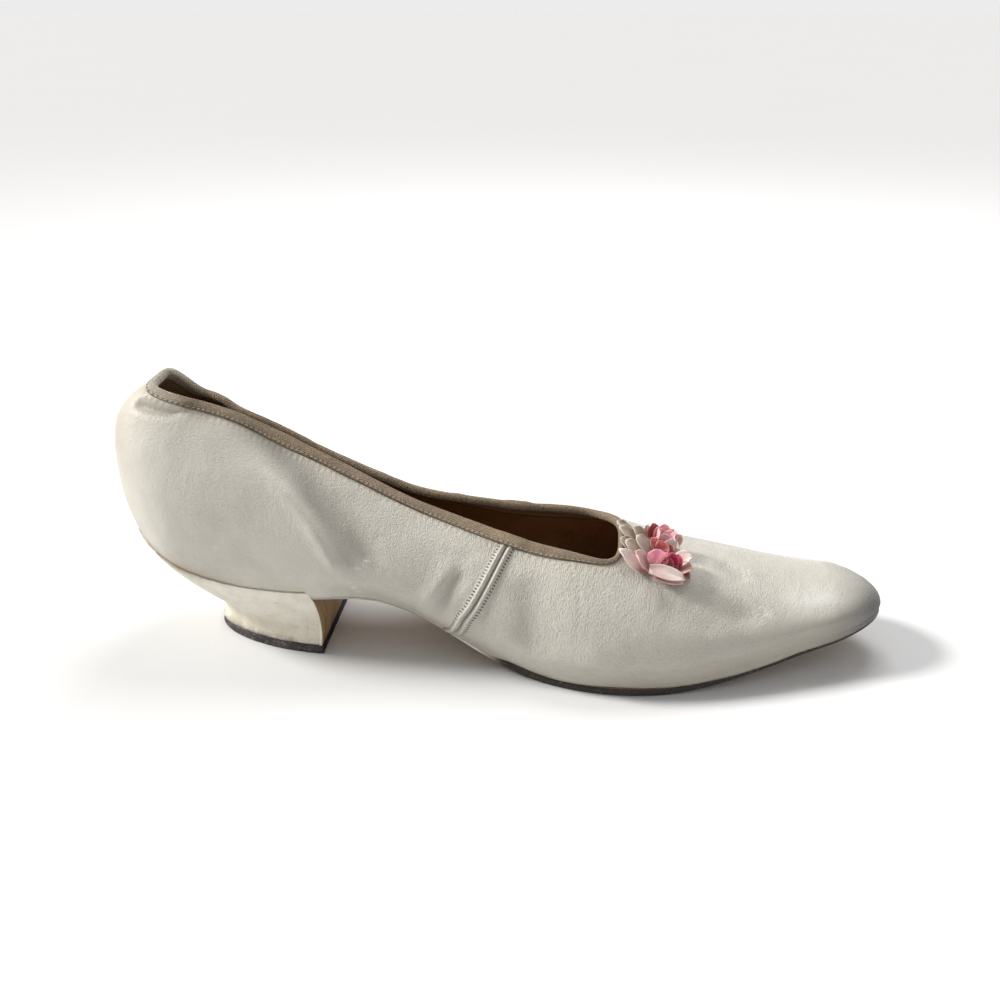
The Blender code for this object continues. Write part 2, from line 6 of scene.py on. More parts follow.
import bmesh
import bpy
import numpy as np
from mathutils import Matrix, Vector, noise


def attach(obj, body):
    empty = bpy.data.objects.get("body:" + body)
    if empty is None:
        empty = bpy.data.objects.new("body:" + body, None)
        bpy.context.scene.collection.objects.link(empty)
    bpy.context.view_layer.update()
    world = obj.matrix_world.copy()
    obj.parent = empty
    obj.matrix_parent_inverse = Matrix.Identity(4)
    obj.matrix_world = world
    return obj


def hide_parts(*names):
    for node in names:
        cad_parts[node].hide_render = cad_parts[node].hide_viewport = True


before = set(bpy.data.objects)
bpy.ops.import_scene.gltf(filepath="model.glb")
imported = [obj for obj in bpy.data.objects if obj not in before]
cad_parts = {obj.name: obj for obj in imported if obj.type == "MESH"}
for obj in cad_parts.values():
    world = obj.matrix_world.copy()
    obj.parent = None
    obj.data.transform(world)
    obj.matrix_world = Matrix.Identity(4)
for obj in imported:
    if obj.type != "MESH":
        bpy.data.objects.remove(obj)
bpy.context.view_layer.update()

bl_info = {
    "name": "Kid Pump with Roses",
    "version": (1, 0, 0),
    "blender": (4, 5, 0),
    "location": "View3D > Sidebar > Pump",
    "description": "Dresses the frame of a white kid pump with leather, tape, stitches, soles and roses",
    "category": "Object",
}

# Sizes of the last and of the pieces on it, in metres
LENGTH = 0.248
BALL_WIDTH = 0.072
INSTEP_HEIGHT = 0.038
WALL = 0.0015
GAP = 0.0003
SEAT_HEIGHT = 0.0228
SEAT_RISE = 0.0135
SEAT_POWER = 1.7
SEAT_END = 0.286
TREAD_START = 0.597
TREAD_END = 0.718
TOE_SPRING = 0.0125
TOE_SPRING_POWER = 1.3
HEEL_ROUND = 0.10
TOE_ROUND = 0.075
BACK_SET = 0.0010
BACK_LEAN = 0.0135
BACK_LEAN_POWER = 4.0
BACK_TUCK = 0.0035
BACK_FADE = 0.20
TOE_BULGE = 0.0012
TOE_BULGE_HEIGHT = 0.005
THROAT = 0.663
THROAT_FOOT = 0.655
THROAT_ROUND = 0.055
THROAT_SQUARE_LATERAL = 4.0
THROAT_SQUARE_MEDIAL = 2.4
SEAM_FOOT = 0.4485
SEAM_TOP = 0.5255
SEAM_WIDTH = 0.0042
TAPE_OUTSIDE = 0.0038
SOLE = 0.0026
SOLE_LIP = 0.0005
SOLE_START = 0.27
WAIST_SOLE = 0.0022
WAIST_END = 0.52
TOE_SOLE = 0.0018
FLAP = 0.0012
INSOLE = 0.0018
INSOLE_MARGIN = 0.0004
LIFT = 0.0029
LIFT_LIP = 0.0005
LIFT_FRONT = 0.0697
LIFT_LENGTH = 0.0400
LIFT_WIDTH = 0.0405
LIFT_CENTRE = -0.0027
LIFT_SQUARE = 1.8
BREAST_LEAN = 0.0020
BREAST_BOW = 0.0011
SEAT_LIP = 0.0004

# Relief of the kid: its slackness, the seam's bed with two welts and a groove, and the skirt that is drawn
# down over the sole's edge. FOLD_DEPTH is how deep a fold has to be for its painted shade and dirt to be
# full.
SLACK_DEPTH = 0.00034
SEAM_BED = 0.00035
SEAM_MARGIN = 0.0006
SEAM_SLOPE = 0.0009
WELT_PLACE = 0.00105
WELT_WIDTH = 0.00050
WELT_HEIGHT = 0.00070
GROOVE_WIDTH = 0.00032
GROOVE_DEPTH = 0.00050
SKIRT_OUT = 0.0007
SKIRT_DROP = 0.0020
TOE_SKIRT_DROP = 0.0008
SKIRT_LEVELS = [0, 0.022, 0.045, 0.075]
SKIRT_SHARES = [1, 0.55, 0.12, 0]
FOLD_DEPTH = 0.0022
SKIRT_START = 0.264
SKIRT_START_EASE = 0.008
SKIRT_END = 0.535
SKIRT_END_EASE = 0.05
TOE_SKIRT_START = 0.71
TOE_SKIRT_EASE = 0.12

# Rows of stitches: how far they lie from the seam's middle and down the tape, and their heights and pitch
SEAM_ROW = 0.00190
SEAM_PITCH = 0.00106
SEAM_STITCH_SHARE = 0.62
SEAM_STITCH_HEIGHT = 0.00002
SEAM_STITCH_SLANT = 0.35
TAPE_ROW = 0.80
TAPE_STITCH_HEIGHT = 0.00048

# Mesh lines: how many each stretch of the upper has, and those beside the seam, in millimetres from it
HEEL_LINES = 30
QUARTER_LINES = 60
SEAM_LINES = [-3.6, -3.0, -2.6, -2.3, -1.9, -1.6, -1.3, -1.05, -0.8, -0.5, -0.3, -0.15]
BESIDE_LINES = 12
THROAT_LINES = 22
VAMP_LINES = 48
TOE_LINES = 24
LOW_LEVELS = 14
HIGH_LEVELS = 46
SOLE_LINES = 90
SOLE_TOE_LINES = 26
FLAP_ROWS = 12
SOCK_HEEL_LINES = 24
SOCK_LINES = 90
SOCK_TOE_LINES = 20
SOCK_COLUMNS = 11
HEEL_COLUMNS = 44
HEEL_ROWS = 34
LIFT_COLUMNS = 60

# Sections of the sole's edge, as shares of its thickness down and of its lip out, and of the lift's, as
# shares of its height up and of its lip in
SOLE_PROFILE = [(0.0, 0.0), (0.06, 0.5), (0.2, 0.9), (0.45, 1.0), (0.7, 0.95), (0.9, 0.6), (1.0, 0.1)]
LIFT_PROFILE = [(0.0, 1.4), (0.06, 0.6), (0.18, 0.1), (0.5, 0.0), (0.82, 0.1), (0.94, 0.5), (1.0, 1.2)]
LIFT_ROUND = 0.6
LIFT_WEAR = 0.00014
HEEL_SLACK = 0.00022
HEEL_FADE = 0.08
SOCK_HOLLOW = 0.0005

# Sections of the upper, heel to toe. at is a share of LENGTH. lateral and medial are the widest lines'
# distances from the long axis, crest the crown line's, and tuck how far the feather edge lies inside the
# widest line, as shares of BALL_WIDTH. rise is the widest line's height and crown the crest's, both over
# the feather edge, as shares of INSTEP_HEIGHT. full is how far the wall swells: 0.55 is an ellipse.
SECTIONS = [
    dict(at=0.000, lateral=0.290, medial=0.290, crest=0.000, tuck=0.035, rise=0.57, crown=1.50, full=0.45),
    dict(at=0.080, lateral=0.354, medial=0.333, crest=0.000, tuck=0.035, rise=0.50, crown=1.38, full=0.45),
    dict(at=0.180, lateral=0.389, medial=0.340, crest=-0.014, tuck=0.042, rise=0.45, crown=1.33, full=0.42),
    dict(at=0.280, lateral=0.396, medial=0.313, crest=-0.035, tuck=0.083, rise=0.38, crown=1.10, full=0.40),
    dict(at=0.380, lateral=0.403, medial=0.299, crest=-0.049, tuck=0.135, rise=0.34, crown=0.89, full=0.40),
    dict(at=0.480, lateral=0.444, medial=0.333, crest=-0.062, tuck=0.120, rise=0.32, crown=1.04, full=0.42),
    dict(at=0.585, lateral=0.518, medial=0.417, crest=-0.069, tuck=0.049, rise=0.24, crown=1.12, full=0.48),
    dict(at=0.665, lateral=0.542, medial=0.465, crest=-0.069, tuck=0.028, rise=0.21, crown=0.98, full=0.51),
    dict(at=0.745, lateral=0.500, medial=0.451, crest=-0.056, tuck=0.025, rise=0.20, crown=0.80, full=0.52),
    dict(at=0.827, lateral=0.400, medial=0.389, crest=-0.028, tuck=0.021, rise=0.18, crown=0.59, full=0.52),
    dict(at=0.907, lateral=0.278, medial=0.299, crest=0.000, tuck=0.017, rise=0.16, crown=0.41, full=0.54),
    dict(at=1.000, lateral=0.180, medial=0.200, crest=0.000, tuck=0.014, rise=0.12, crown=0.30, full=0.55),
]

# Half width of the opening on each side of the crest, as shares of BALL_WIDTH, and how much lower than the
# lateral quarter the slack medial quarter hangs, as a share of INSTEP_HEIGHT.
OPENING = [
    dict(at=0.000, lateral=0.170, medial=0.170, drop=0.00),
    dict(at=0.080, lateral=0.115, medial=0.125, drop=0.00),
    dict(at=0.180, lateral=0.070, medial=0.100, drop=0.07),
    dict(at=0.280, lateral=0.062, medial=0.100, drop=0.09),
    dict(at=0.380, lateral=0.075, medial=0.095, drop=0.05),
    dict(at=0.480, lateral=0.130, medial=0.140, drop=0.00),
    dict(at=0.600, lateral=0.215, medial=0.245, drop=0.00),
    dict(at=0.700, lateral=0.225, medial=0.265, drop=0.00),
]

# Heel, from its seat down to its lift: how much of the way from the seat's outline to the lift's its cover
# has come in, and how much narrower than that it is
HEEL_CURVE = [
    dict(down=0.00, inward=0.00, pinch=0.000),
    dict(down=0.20, inward=0.14, pinch=0.050),
    dict(down=0.44, inward=0.44, pinch=0.090),
    dict(down=0.59, inward=0.70, pinch=0.100),
    dict(down=0.72, inward=0.94, pinch=0.090),
    dict(down=0.82, inward=1.05, pinch=0.070),
    dict(down=0.90, inward=1.09, pinch=0.050),
    dict(down=1.00, inward=1.04, pinch=0.020),
]

# How the worn edge of the opening strays from the last, in millimetres: lateral and medial upwards, and
# forward at the back
COLLAR_STRAY = [
    dict(at=0.000, lateral=0.6, medial=0.6, forward=1.7),
    dict(at=0.015, lateral=0.3, medial=2.2, forward=-0.4),
    dict(at=0.050, lateral=0.2, medial=-1.3, forward=-0.2),
    dict(at=0.090, lateral=1.0, medial=-0.9, forward=0.0),
    dict(at=0.150, lateral=1.3, medial=0.9, forward=0.0),
    dict(at=0.220, lateral=0.9, medial=1.0, forward=0.0),
    dict(at=0.320, lateral=0.0, medial=0.0, forward=0.0),
    dict(at=0.500, lateral=0.0, medial=0.0, forward=0.0),
]
COLLAR_STRAY_POWER = 5

# How wide the tape shows outside, as a share of TAPE_OUTSIDE: it rolls in at the throat
TAPE_WIDTHS = [
    dict(at=0.000, lateral=0.68, medial=0.68),
    dict(at=0.100, lateral=0.80, medial=0.85),
    dict(at=0.300, lateral=1.00, medial=1.00),
    dict(at=0.520, lateral=0.95, medial=1.00),
    dict(at=0.600, lateral=0.75, medial=0.95),
    dict(at=0.645, lateral=0.32, medial=0.80),
    dict(at=0.663, lateral=0.20, medial=0.20),
]

# The tape's section. TAPE_RINGS holds shares of its width down from the edge and its heights over the kid
# there, TAPE_FOLD how far beyond the edge and how high the rings of its fold lie, and TAPE_INSIDE shares of
# its width down from the edge inside.
TAPE_RINGS = [
    (1.00, 0.00012),
    (0.97, 0.00046),
    (0.87, 0.00054),
    (0.78, 0.00040),
    (0.58, 0.00064),
    (0.37, 0.00070),
    (0.16, 0.00066),
]
TAPE_FOLD = [
    (0.00020, 0.00050),
    (0.00060, 0.00018),
    (0.00078, -0.00075),
    (0.00060, -0.00168),
    (0.00020, -0.00200),
]
TAPE_INSIDE = [0.16, 0.37, 0.58, 0.79, 0.9]
TAPE_DEPTH = 0.00208
TAPE_ROOT = 0.00152
TAPE_CLEAR = 0.00002
TAPE_BEYOND = 0.00005
TAPE_COLUMNS = 560
TAPE_STEPS = 12

# The climb of the widest line, and how far mesh lines swing forward round the throat
LOW_SHARE = 0.3
LINE_SWING = 0.012

# From the last's own places to the scene's, centred on the length and on the ball
BALL = SECTIONS[7]
SHIFT = np.array([-(LENGTH + BACK_SET) / 2, BALL_WIDTH * (BALL["lateral"] - BALL["medial"]) / 2, 0.0])
HALF_GIRTH = 0.060

# Steps and limits of the sums
MM = 0.001
QUARTER_TURN = math.pi / 2
LEAST_TURN = 1e-4
LEAST_SIZE = 1e-9
LEAST_SPREAD = 1e-14
LEAST_STATION = 1e-6
LEAST_EDGE = 1e-7
UPPER_WELD = 4e-6
SOCK_WELD = 1e-6
SLOPE_STEP = 1e-4
POLE = 3e-4
HALVINGS = 40
PAST_EDGE = 1.1
PATH_POINTS = 14
FAR_OFF = 1.0

# Creases of the kid. side is -1 lateral or 1 medial, and path holds (station, climb) pairs. width,
# depth and lip are in millimetres. A depth below 0 is a trough. lip is the height of a ridge beside it, and
# its sign says on which side the ridge lies.
Crease = namedtuple("Crease", "side path width depth lip")
CREASES = [
    Crease(-1, [(0.150, 0.88), (0.225, 0.80), (0.290, 0.66), (0.345, 0.44), (0.362, 0.20)], 5.4, -2.4, 0.0),
    Crease(-1, [(0.185, 0.70), (0.250, 0.60), (0.288, 0.46), (0.312, 0.28), (0.337, 0.02)], 2.4, 1.2, 0.0),
    Crease(-1, [(0.250, 0.69), (0.290, 0.57), (0.318, 0.40), (0.345, 0.16)], 3.2, -0.8, 0.0),
    Crease(-1, [(0.014, 0.655), (0.042, 0.70), (0.100, 0.80)], 1.3, -1.3, 0.6),
    Crease(-1, [(0.474, 0.60), (0.460, 0.50), (0.446, 0.36), (0.424, 0.10)], 1.8, -0.95, -0.7),
    Crease(-1, [(0.478, 0.70), (0.466, 0.60), (0.452, 0.54)], 1.1, -0.25, 0.15),
    Crease(-1, [(0.735, 0.74), (0.780, 0.68), (0.845, 0.50)], 4.6, -1.3, 0.35),
    Crease(-1, [(0.700, 0.66), (0.745, 0.60), (0.800, 0.47)], 3.6, -0.7, 0.0),
    Crease(-1, [(0.815, 0.80), (0.834, 0.68), (0.848, 0.54)], 0.8, -0.4, 0.25),
    Crease(-1, [(0.780, 0.97), (0.806, 0.90), (0.824, 0.82)], 3.0, -0.7, 0.3),
    Crease(-1, [(0.560, 0.42), (0.640, 0.36), (0.700, 0.34)], 7.0, 0.45, 0.0),
    Crease(-1, [(0.540, 0.66), (0.552, 0.45), (0.548, 0.25)], 5.0, -1.1, 0.0),
    Crease(-1, [(0.090, 0.30), (0.180, 0.22), (0.270, 0.20)], 5.0, -0.3, 0.0),
    Crease(1, [(0.120, 0.80), (0.200, 0.72), (0.290, 0.60)], 6.5, -1.3, 0.0),
    Crease(1, [(0.270, 0.62), (0.300, 0.42), (0.330, 0.10)], 2.6, 0.7, 0.0),
    Crease(1, [(0.345, 0.60), (0.375, 0.40), (0.390, 0.25)], 8.0, -1.0, 0.0),
    Crease(1, [(0.470, 0.62), (0.452, 0.42), (0.430, 0.15)], 1.8, -0.5, 0.4),
    Crease(1, [(0.700, 0.72), (0.770, 0.62), (0.840, 0.52)], 4.5, -0.8, 0.3),
    Crease(1, [(0.720, 0.90), (0.770, 0.80), (0.830, 0.76)], 3.5, -0.4, 0.2),
]
CREASE_TAPER = 0.3
LIP_PLACE = 1.7
RELIEF_FADE = 0.02

# Round dents and bumps of the kid, and its scratches, in millimetres
DENTS = [
    dict(side=-1, at=0.166, climb=0.160, width=1.1, depth=-0.30),
    dict(side=-1, at=0.172, climb=0.107, width=1.3, depth=-0.28),
    dict(side=-1, at=0.181, climb=0.125, width=0.9, depth=0.22),
    dict(side=-1, at=0.160, climb=0.110, width=0.9, depth=0.15),
    dict(side=-1, at=0.632, climb=0.363, width=4.5, depth=0.50),
    dict(side=-1, at=0.600, climb=0.300, width=6.0, depth=-0.30),
    dict(side=1, at=0.640, climb=0.380, width=6.0, depth=0.45),
    dict(side=1, at=0.200, climb=0.300, width=7.0, depth=-0.50),
]
SCRATCHES = [
    dict(side=-1, path=[(0.333, 0.26), (0.352, 0.40)], width=0.16),
    dict(side=-1, path=[(0.152, 0.225), (0.160, 0.245)], width=0.30),
    dict(side=-1, path=[(0.328, 0.20), (0.334, 0.06)], width=0.45),
    dict(side=-1, path=[(0.836, 0.66), (0.846, 0.56)], width=0.35),
    dict(side=1, path=[(0.260, 0.30), (0.285, 0.38)], width=0.25),
]

# Dyes of the petals' cloth
TINTS = {
    "pink": (0.96, 0.46, 0.51),
    "bright": (1.0, 0.36, 0.47),
    "crimson": (0.50, 0.020, 0.085),
    "coral": (0.62, 0.135, 0.13),
    "wine": (0.36, 0.075, 0.07),
    "blush": (0.82, 0.52, 0.50),
    "bloom": (0.95, 0.58, 0.60),
    "pale": (0.86, 0.72, 0.67),
    "dusty": (0.66, 0.42, 0.34),
    "rust": (0.44, 0.19, 0.155),
    "beige": (0.60, 0.51, 0.41),
    "sand": (0.47, 0.385, 0.30),
    "white": (0.84, 0.78, 0.68),
}

# Petals of the roses. at and climb are each one's place on the lateral vamp, and raised is how far over it
# the petal starts. around is the way it points in degrees, 0 to the toe and 90 to the crest, rise how
# steeply it stands and curl how far it falls back. raised, length and width are in millimetres, cup is how
# far its edges turn in, and tint is its dye.
Petal = namedtuple("Petal", "rose at climb raised around rise length width curl cup tint")
PETALS = [
    Petal("far", 0.7115, 0.985, 0.4, 95, 52, 7.0, 6.8, -12, 0.16, "pink"),
    Petal("far", 0.7090, 0.975, 0.8, 150, 62, 5.6, 5.2, -10, 0.24, "pink"),
    Petal("far", 0.7145, 0.975, 0.8, 50, 60, 5.6, 5.0, 0, 0.24, "pink"),
    Petal("far", 0.7120, 0.952, 1.2, 92, 46, 4.6, 5.8, -20, 0.12, "bloom"),
    Petal("far", 0.7110, 0.890, 0.6, 95, 36, 5.6, 5.0, 10, 0.14, "coral"),
    Petal("far", 0.7050, 0.905, 0.6, 120, 40, 5.2, 4.4, 10, 0.18, "coral"),
    Petal("far", 0.7160, 0.905, 0.4, 75, 40, 4.8, 4.4, 10, 0.18, "wine"),
    Petal("far", 0.7010, 0.980, 0.4, 110, 55, 6.4, 5.4, 0, 0.18, "wine"),
    Petal("far", 0.6905, 0.990, 0.4, 100, 66, 5.2, 1.9, 0, 0.10, "white"),
    Petal("far", 0.7205, 0.985, 0.5, 75, 62, 6.2, 4.4, 0, 0.22, "bloom"),
    Petal("far", 0.7270, 0.985, 0.4, 60, 60, 5.4, 4.2, 10, 0.22, "dusty"),
    Petal("far", 0.7220, 0.920, 0.8, 85, 44, 5.4, 5.2, -16, 0.10, "pale"),
    Petal("far", 0.7120, 0.960, 0.2, 30, 12, 5.0, 6.0, 0, 0.10, "wine"),
    Petal("far", 0.7120, 0.940, 0.2, 200, 12, 4.6, 6.0, 0, 0.10, "wine"),
    Petal("near", 0.7015, 0.800, 2.7, 88, 26, 5.2, 6.8, -4, 0.03, "bright"),
    Petal("near", 0.7085, 0.815, 1.5, 70, 34, 4.8, 5.2, -8, 0.08, "bright"),
    Petal("near", 0.6960, 0.795, 0.6, 150, 24, 4.0, 4.6, 0, 0.06, "crimson"),
    Petal("near", 0.7070, 0.800, 0.4, 90, 26, 4.2, 5.4, 0, 0.08, "crimson"),
    Petal("near", 0.7205, 0.800, 0.8, 96, 50, 6.6, 4.6, 0, 0.14, "crimson"),
    Petal("near", 0.7150, 0.795, 0.8, 100, 46, 5.2, 4.6, 0, 0.16, "wine"),
    Petal("near", 0.7240, 0.820, 0.5, 70, 50, 5.6, 4.4, 0, 0.20, "crimson"),
    Petal("near", 0.7120, 0.845, 0.3, 90, 24, 5.0, 6.4, 0, 0.10, "wine"),
    Petal("near", 0.6925, 0.772, 2.7, -5, 8, 11.6, 5.2, 10, 0.08, "pale"),
    Petal("near", 0.7000, 0.764, 1.6, -4, 6, 9.6, 5.0, 6, 0.04, "blush"),
    Petal("near", 0.7265, 0.862, 0.5, 20, 36, 6.4, 5.8, 0, 0.20, "pale"),
    Petal("near", 0.7270, 0.830, 0.5, 355, 26, 6.0, 5.8, 0, 0.20, "dusty"),
    Petal("near", 0.7270, 0.810, 0.3, 335, 14, 5.4, 5.4, 0, 0.16, "rust"),
    Petal("near", 0.6920, 0.765, 0.4, 150, 12, 11.4, 4.6, -4, 0.16, "pale"),
    Petal("near", 0.6980, 0.795, 0.4, 158, 30, 8.0, 5.4, 0, 0.16, "blush"),
    Petal("near", 0.6885, 0.840, 0.7, 152, 20, 8.2, 6.0, 0, 0.12, "beige"),
    Petal("near", 0.6825, 0.870, 0.7, 160, 16, 7.4, 6.0, 0, 0.12, "sand"),
    Petal("near", 0.6975, 0.880, 0.9, 150, 24, 7.4, 6.0, 0, 0.14, "beige"),
    Petal("near", 0.6825, 0.930, 0.8, 160, 18, 8.0, 5.8, 0, 0.12, "beige"),
    Petal("near", 0.6785, 0.975, 0.8, 165, 18, 7.6, 5.6, 0, 0.12, "beige"),
    Petal("near", 0.6935, 0.945, 0.9, 155, 26, 7.0, 5.4, 0, 0.14, "sand"),
    Petal("near", 0.6885, 0.800, 0.3, 170, 14, 7.0, 6.6, 0, 0.12, "beige"),
]
PETAL_COLUMNS = 13
PETAL_LEVELS = 11

# Colours of wear and dirt on each finish, and of the shade and the highlight painted on some of them
KID_WARM = (0.56, 0.52, 0.455)
KID_SCRATCH = (0.80, 0.77, 0.70)
# A highlight painted on the toe's top
KID_PAINTED_HIGHLIGHT = (0.84, 0.83, 0.80)
# Painted shade in the stitch holes and the seam's groove
STITCH_HOLE_SHADE = (0.06, 0.05, 0.04)
FACING = (0.36, 0.24, 0.14)
FACING_EDGE = (0.10, 0.055, 0.03)
TAPE_PALE = (0.60, 0.52, 0.41)
TAPE_DARK = (0.16, 0.11, 0.07)
TAPE_CREAM = (0.70, 0.63, 0.51)
# Painted shade in the pits between the tape's stitches and along its lower edge
TAPE_PAINTED_SHADE = (0.085, 0.06, 0.04)
HEEL_YELLOW = (0.60, 0.50, 0.34)
HEEL_SEAT = (0.30, 0.22, 0.13)
HEEL_RUBBED = (0.22, 0.20, 0.17)
HEEL_CRACK = (0.33, 0.27, 0.19)
HEEL_STREAK = (0.42, 0.35, 0.24)
FLAP_STREAK = (0.075, 0.042, 0.022)
TREAD_SCUFF = (0.10, 0.088, 0.075)
EDGE_WORN = (0.24, 0.215, 0.185)
LIFT_BLACK = (0.055, 0.048, 0.046)
LIFT_BROWN = (0.095, 0.085, 0.082)
LIFT_RUBBED = (0.27, 0.255, 0.25)
LIFT_LAYER = (0.02, 0.016, 0.015)
# Painted shade on the lift's front face
LIFT_BREAST_SHADE = (0.014, 0.009, 0.008)
SOCK_SPECK = (0.07, 0.04, 0.02)
# Painted shade deep in the roses, towards each petal's root
PETAL_ROOT_SHADE = (0.48, 0.30, 0.28)
PETAL_FADED = (0.86, 0.72, 0.66)
PETAL_BROWN = (0.36, 0.20, 0.13)
PETAL_FRAYED = (0.90, 0.78, 0.72)

# The stage: floor, lamps and camera
FLOOR_REACH = 60.0
HORIZON_BAND = (0.02, 0.08)
SUN_PLACE = (-0.74, 0.04, 0.60)
SUN_SPREAD = 14
SUN_COLOUR = (1.0, 0.985, 0.96)
WINDOW_PLACE = (0.10, 0.46, 0.80)
WINDOW_SIZE = 0.5
LAMP_AIM = (0, 0, 0.04)
CAMERA_PLACE = (0.15283, -0.30530, 0.19008)
CAMERA_TURN = (65.0, 0.0, 5.2)
CAMERA_LENS = 37.8
CAMERA_SENSOR = 36.0
CAMERA_NEAR = 0.01


def length_property(name, about, default):
    """A length in metres that can be set in the panel."""
    return bpy.props.FloatProperty(name=name, description=about, default=default, unit="LENGTH")


def strength_property(name, about, default, unit="NONE"):
    """A light's strength that can be set in the panel."""
    return bpy.props.FloatProperty(name=name, description=about, default=default, unit=unit)


def colour_property(name, about, colour):
    """A colour that can be set in the panel."""
    return bpy.props.FloatVectorProperty(
        name=name, description=about, size=3, subtype="COLOR", default=colour
    )


class PumpLeather(bpy.types.PropertyGroup):
    """Leather of the upper, the heel and the sole."""

    crease_depth: bpy.props.FloatProperty(
        name="Crease depth",
        description="How deep the creases are, over their own depth",
        default=1.0,
        min=0.0,
    )
    grain_depth: length_property("Grain depth", "Depth of the kid's fine grain", 0.00042)
    kid: colour_property("Kid", "Colour of the clean kid", (0.665, 0.633, 0.558))
    # The yellow and grey dirt colours also tint the shade painted in the kid's folds
    soil: colour_property("Soil", "Colour of the yellow dirt", (0.36, 0.28, 0.17))
    grime: colour_property("Grime", "Colour of the grey dirt", (0.16, 0.155, 0.15))
    heel: colour_property("Heel", "Colour of the heel's cover", (0.86, 0.82, 0.71))
    lining: colour_property("Lining", "Colour of the lining", (0.27, 0.145, 0.065))
    sole: colour_property("Sole", "Colour of the tanned sole", (0.40, 0.25, 0.12))
    edge: colour_property("Edge", "Colour of the dark sole edge", (0.035, 0.03, 0.028))


class PumpTrim(bpy.types.PropertyGroup):
    """Tape, thread and roses."""

    stitch_length: length_property("Stitch length", "Length of a stitch", 0.0011)
    stitch_pitch: length_property("Stitch pitch", "From one stitch to the next", 0.0016)
    stitch_thickness: length_property("Thread", "Thickness of the thread", 0.00026)
    petal_thickness: length_property("Petal cloth", "Thickness of the petals' cloth", 0.00028)
    tape: colour_property("Tape", "Colour of the woven tape", (0.42, 0.31, 0.20))
    thread: colour_property("Thread colour", "Colour of the thread", (0.62, 0.54, 0.43))


class PumpStage(bpy.types.PropertyGroup):
    """Floor and light."""

    floor: colour_property("Floor", "Colour of the floor", (0.74, 0.74, 0.74))
    sky: strength_property("Soft light", "Strength of the light all round", 0.43)
    horizon: strength_property("Horizon", "Strength at the horizon, as bright as the floor", 0.838)
    sun: strength_property("Sun", "Strength of the soft sun", 3.7)
    window: strength_property("Window", "Power of the window behind", 4.5, unit="POWER")


def natural_spline(rows, key, column):
    """A smooth function through one column of a table, as a natural cubic spline over its key."""
    x = np.array([row[key] for row in rows])
    y = np.array([row[column] for row in rows])
    h = np.diff(x)
    count = len(x)
    system = np.eye(count)
    right = np.zeros(count)
    for i in range(1, count - 1):
        system[i, i - 1 : i + 2] = h[i - 1], 2 * (h[i - 1] + h[i]), h[i]
        right[i] = 6 * ((y[i + 1] - y[i]) / h[i] - (y[i] - y[i - 1]) / h[i - 1])
    bend = np.linalg.solve(system, right)

    def value(at):
        at = np.clip(np.asarray(at, float), x[0], x[-1])
        i = np.clip(np.searchsorted(x, at, side="right") - 1, 0, count - 2)
        past = at - x[i]
        ahead = x[i + 1] - at
        curve = (bend[i] * ahead**3 + bend[i + 1] * past**3) / (6 * h[i])
        before = (y[i] / h[i] - bend[i] * h[i] / 6) * ahead
        after = (y[i + 1] / h[i] - bend[i + 1] * h[i] / 6) * past
        return curve + before + after

    return value


SECTION = {name: natural_spline(SECTIONS, "at", name) for name in SECTIONS[0] if name != "at"}
OPEN = {name: natural_spline(OPENING, "at", name) for name in OPENING[0] if name != "at"}
HEEL = {name: natural_spline(HEEL_CURVE, "down", name) for name in HEEL_CURVE[0] if name != "down"}
STRAY = {name: natural_spline(COLLAR_STRAY, "at", name) for name in COLLAR_STRAY[0] if name != "at"}
TAPE_SHARE = {name: natural_spline(TAPE_WIDTHS, "at", name) for name in TAPE_WIDTHS[0] if name != "at"}


def round_end(share, square=2.0):
    """1 away from an end, falling to 0 at it as a quarter (super)ellipse; share is 0 at the end."""
    share = np.clip(share, 0, 1)
    return (1 - (1 - share) ** square) ** (1 / square)


def ease(share):
    """Runs from 0 to 1 with no slope or bend at either end."""
    share = np.clip(share, 0, 1)
    return share**3 * (10 - 15 * share + 6 * share**2)


def bell(off, width):
    """1 in the middle, falling away to both sides over a width."""
    return np.exp(-((off / width) ** 2))


def unit(vectors):
    """The same vectors with a length of 1."""
    return vectors / np.linalg.norm(vectors, axis=-1, keepdims=True)


def length_so_far(points):
    """The length of a line up to each of its points."""
    return np.concatenate([[0], np.cumsum(np.linalg.norm(np.diff(points, axis=0), axis=1))])


def by_side(side, lateral, medial):
    """The lateral or the medial value, by the side: -1 lateral, 1 medial."""
    return np.where(np.asarray(side) < 0, lateral, medial)


def feather_height(at):
    """Height of the feather edge, where the upper meets the sole."""
    at = np.asarray(at, float)
    waist = (SEAT_HEIGHT - SOLE) * ease((TREAD_START - at) / (TREAD_START - SEAT_END))
    seat = SEAT_RISE * np.clip((SEAT_END - at) / SEAT_END, 0, 1) ** SEAT_POWER
    toe = TOE_SPRING * np.clip((at - TREAD_END) / (1 - TREAD_END), 0, 1) ** TOE_SPRING_POWER
    return SOLE + waist + seat + toe


def arch(share, full):
    """A wall's curve, from (1, 0) at the widest line to (0, 1) at the crest, as a cubic curve."""
    rest = 1 - share
    across = rest**3 + 3 * rest**2 * share + 3 * full * rest * share**2
    up = 3 * full * rest**2 * share + 3 * rest * share**2 + share**3
    return across, up


def arch_share(across, full):
    """How far along the arch its distance from the crest has fallen to across."""
    low = np.zeros_like(across)
    high = np.ones_like(across)
    for _ in range(HALVINGS):
        middle = (low + high) / 2
        beyond = arch(middle, full)[0] > across
        low = np.where(beyond, middle, low)
        high = np.where(beyond, high, middle)
    return (low + high) / 2


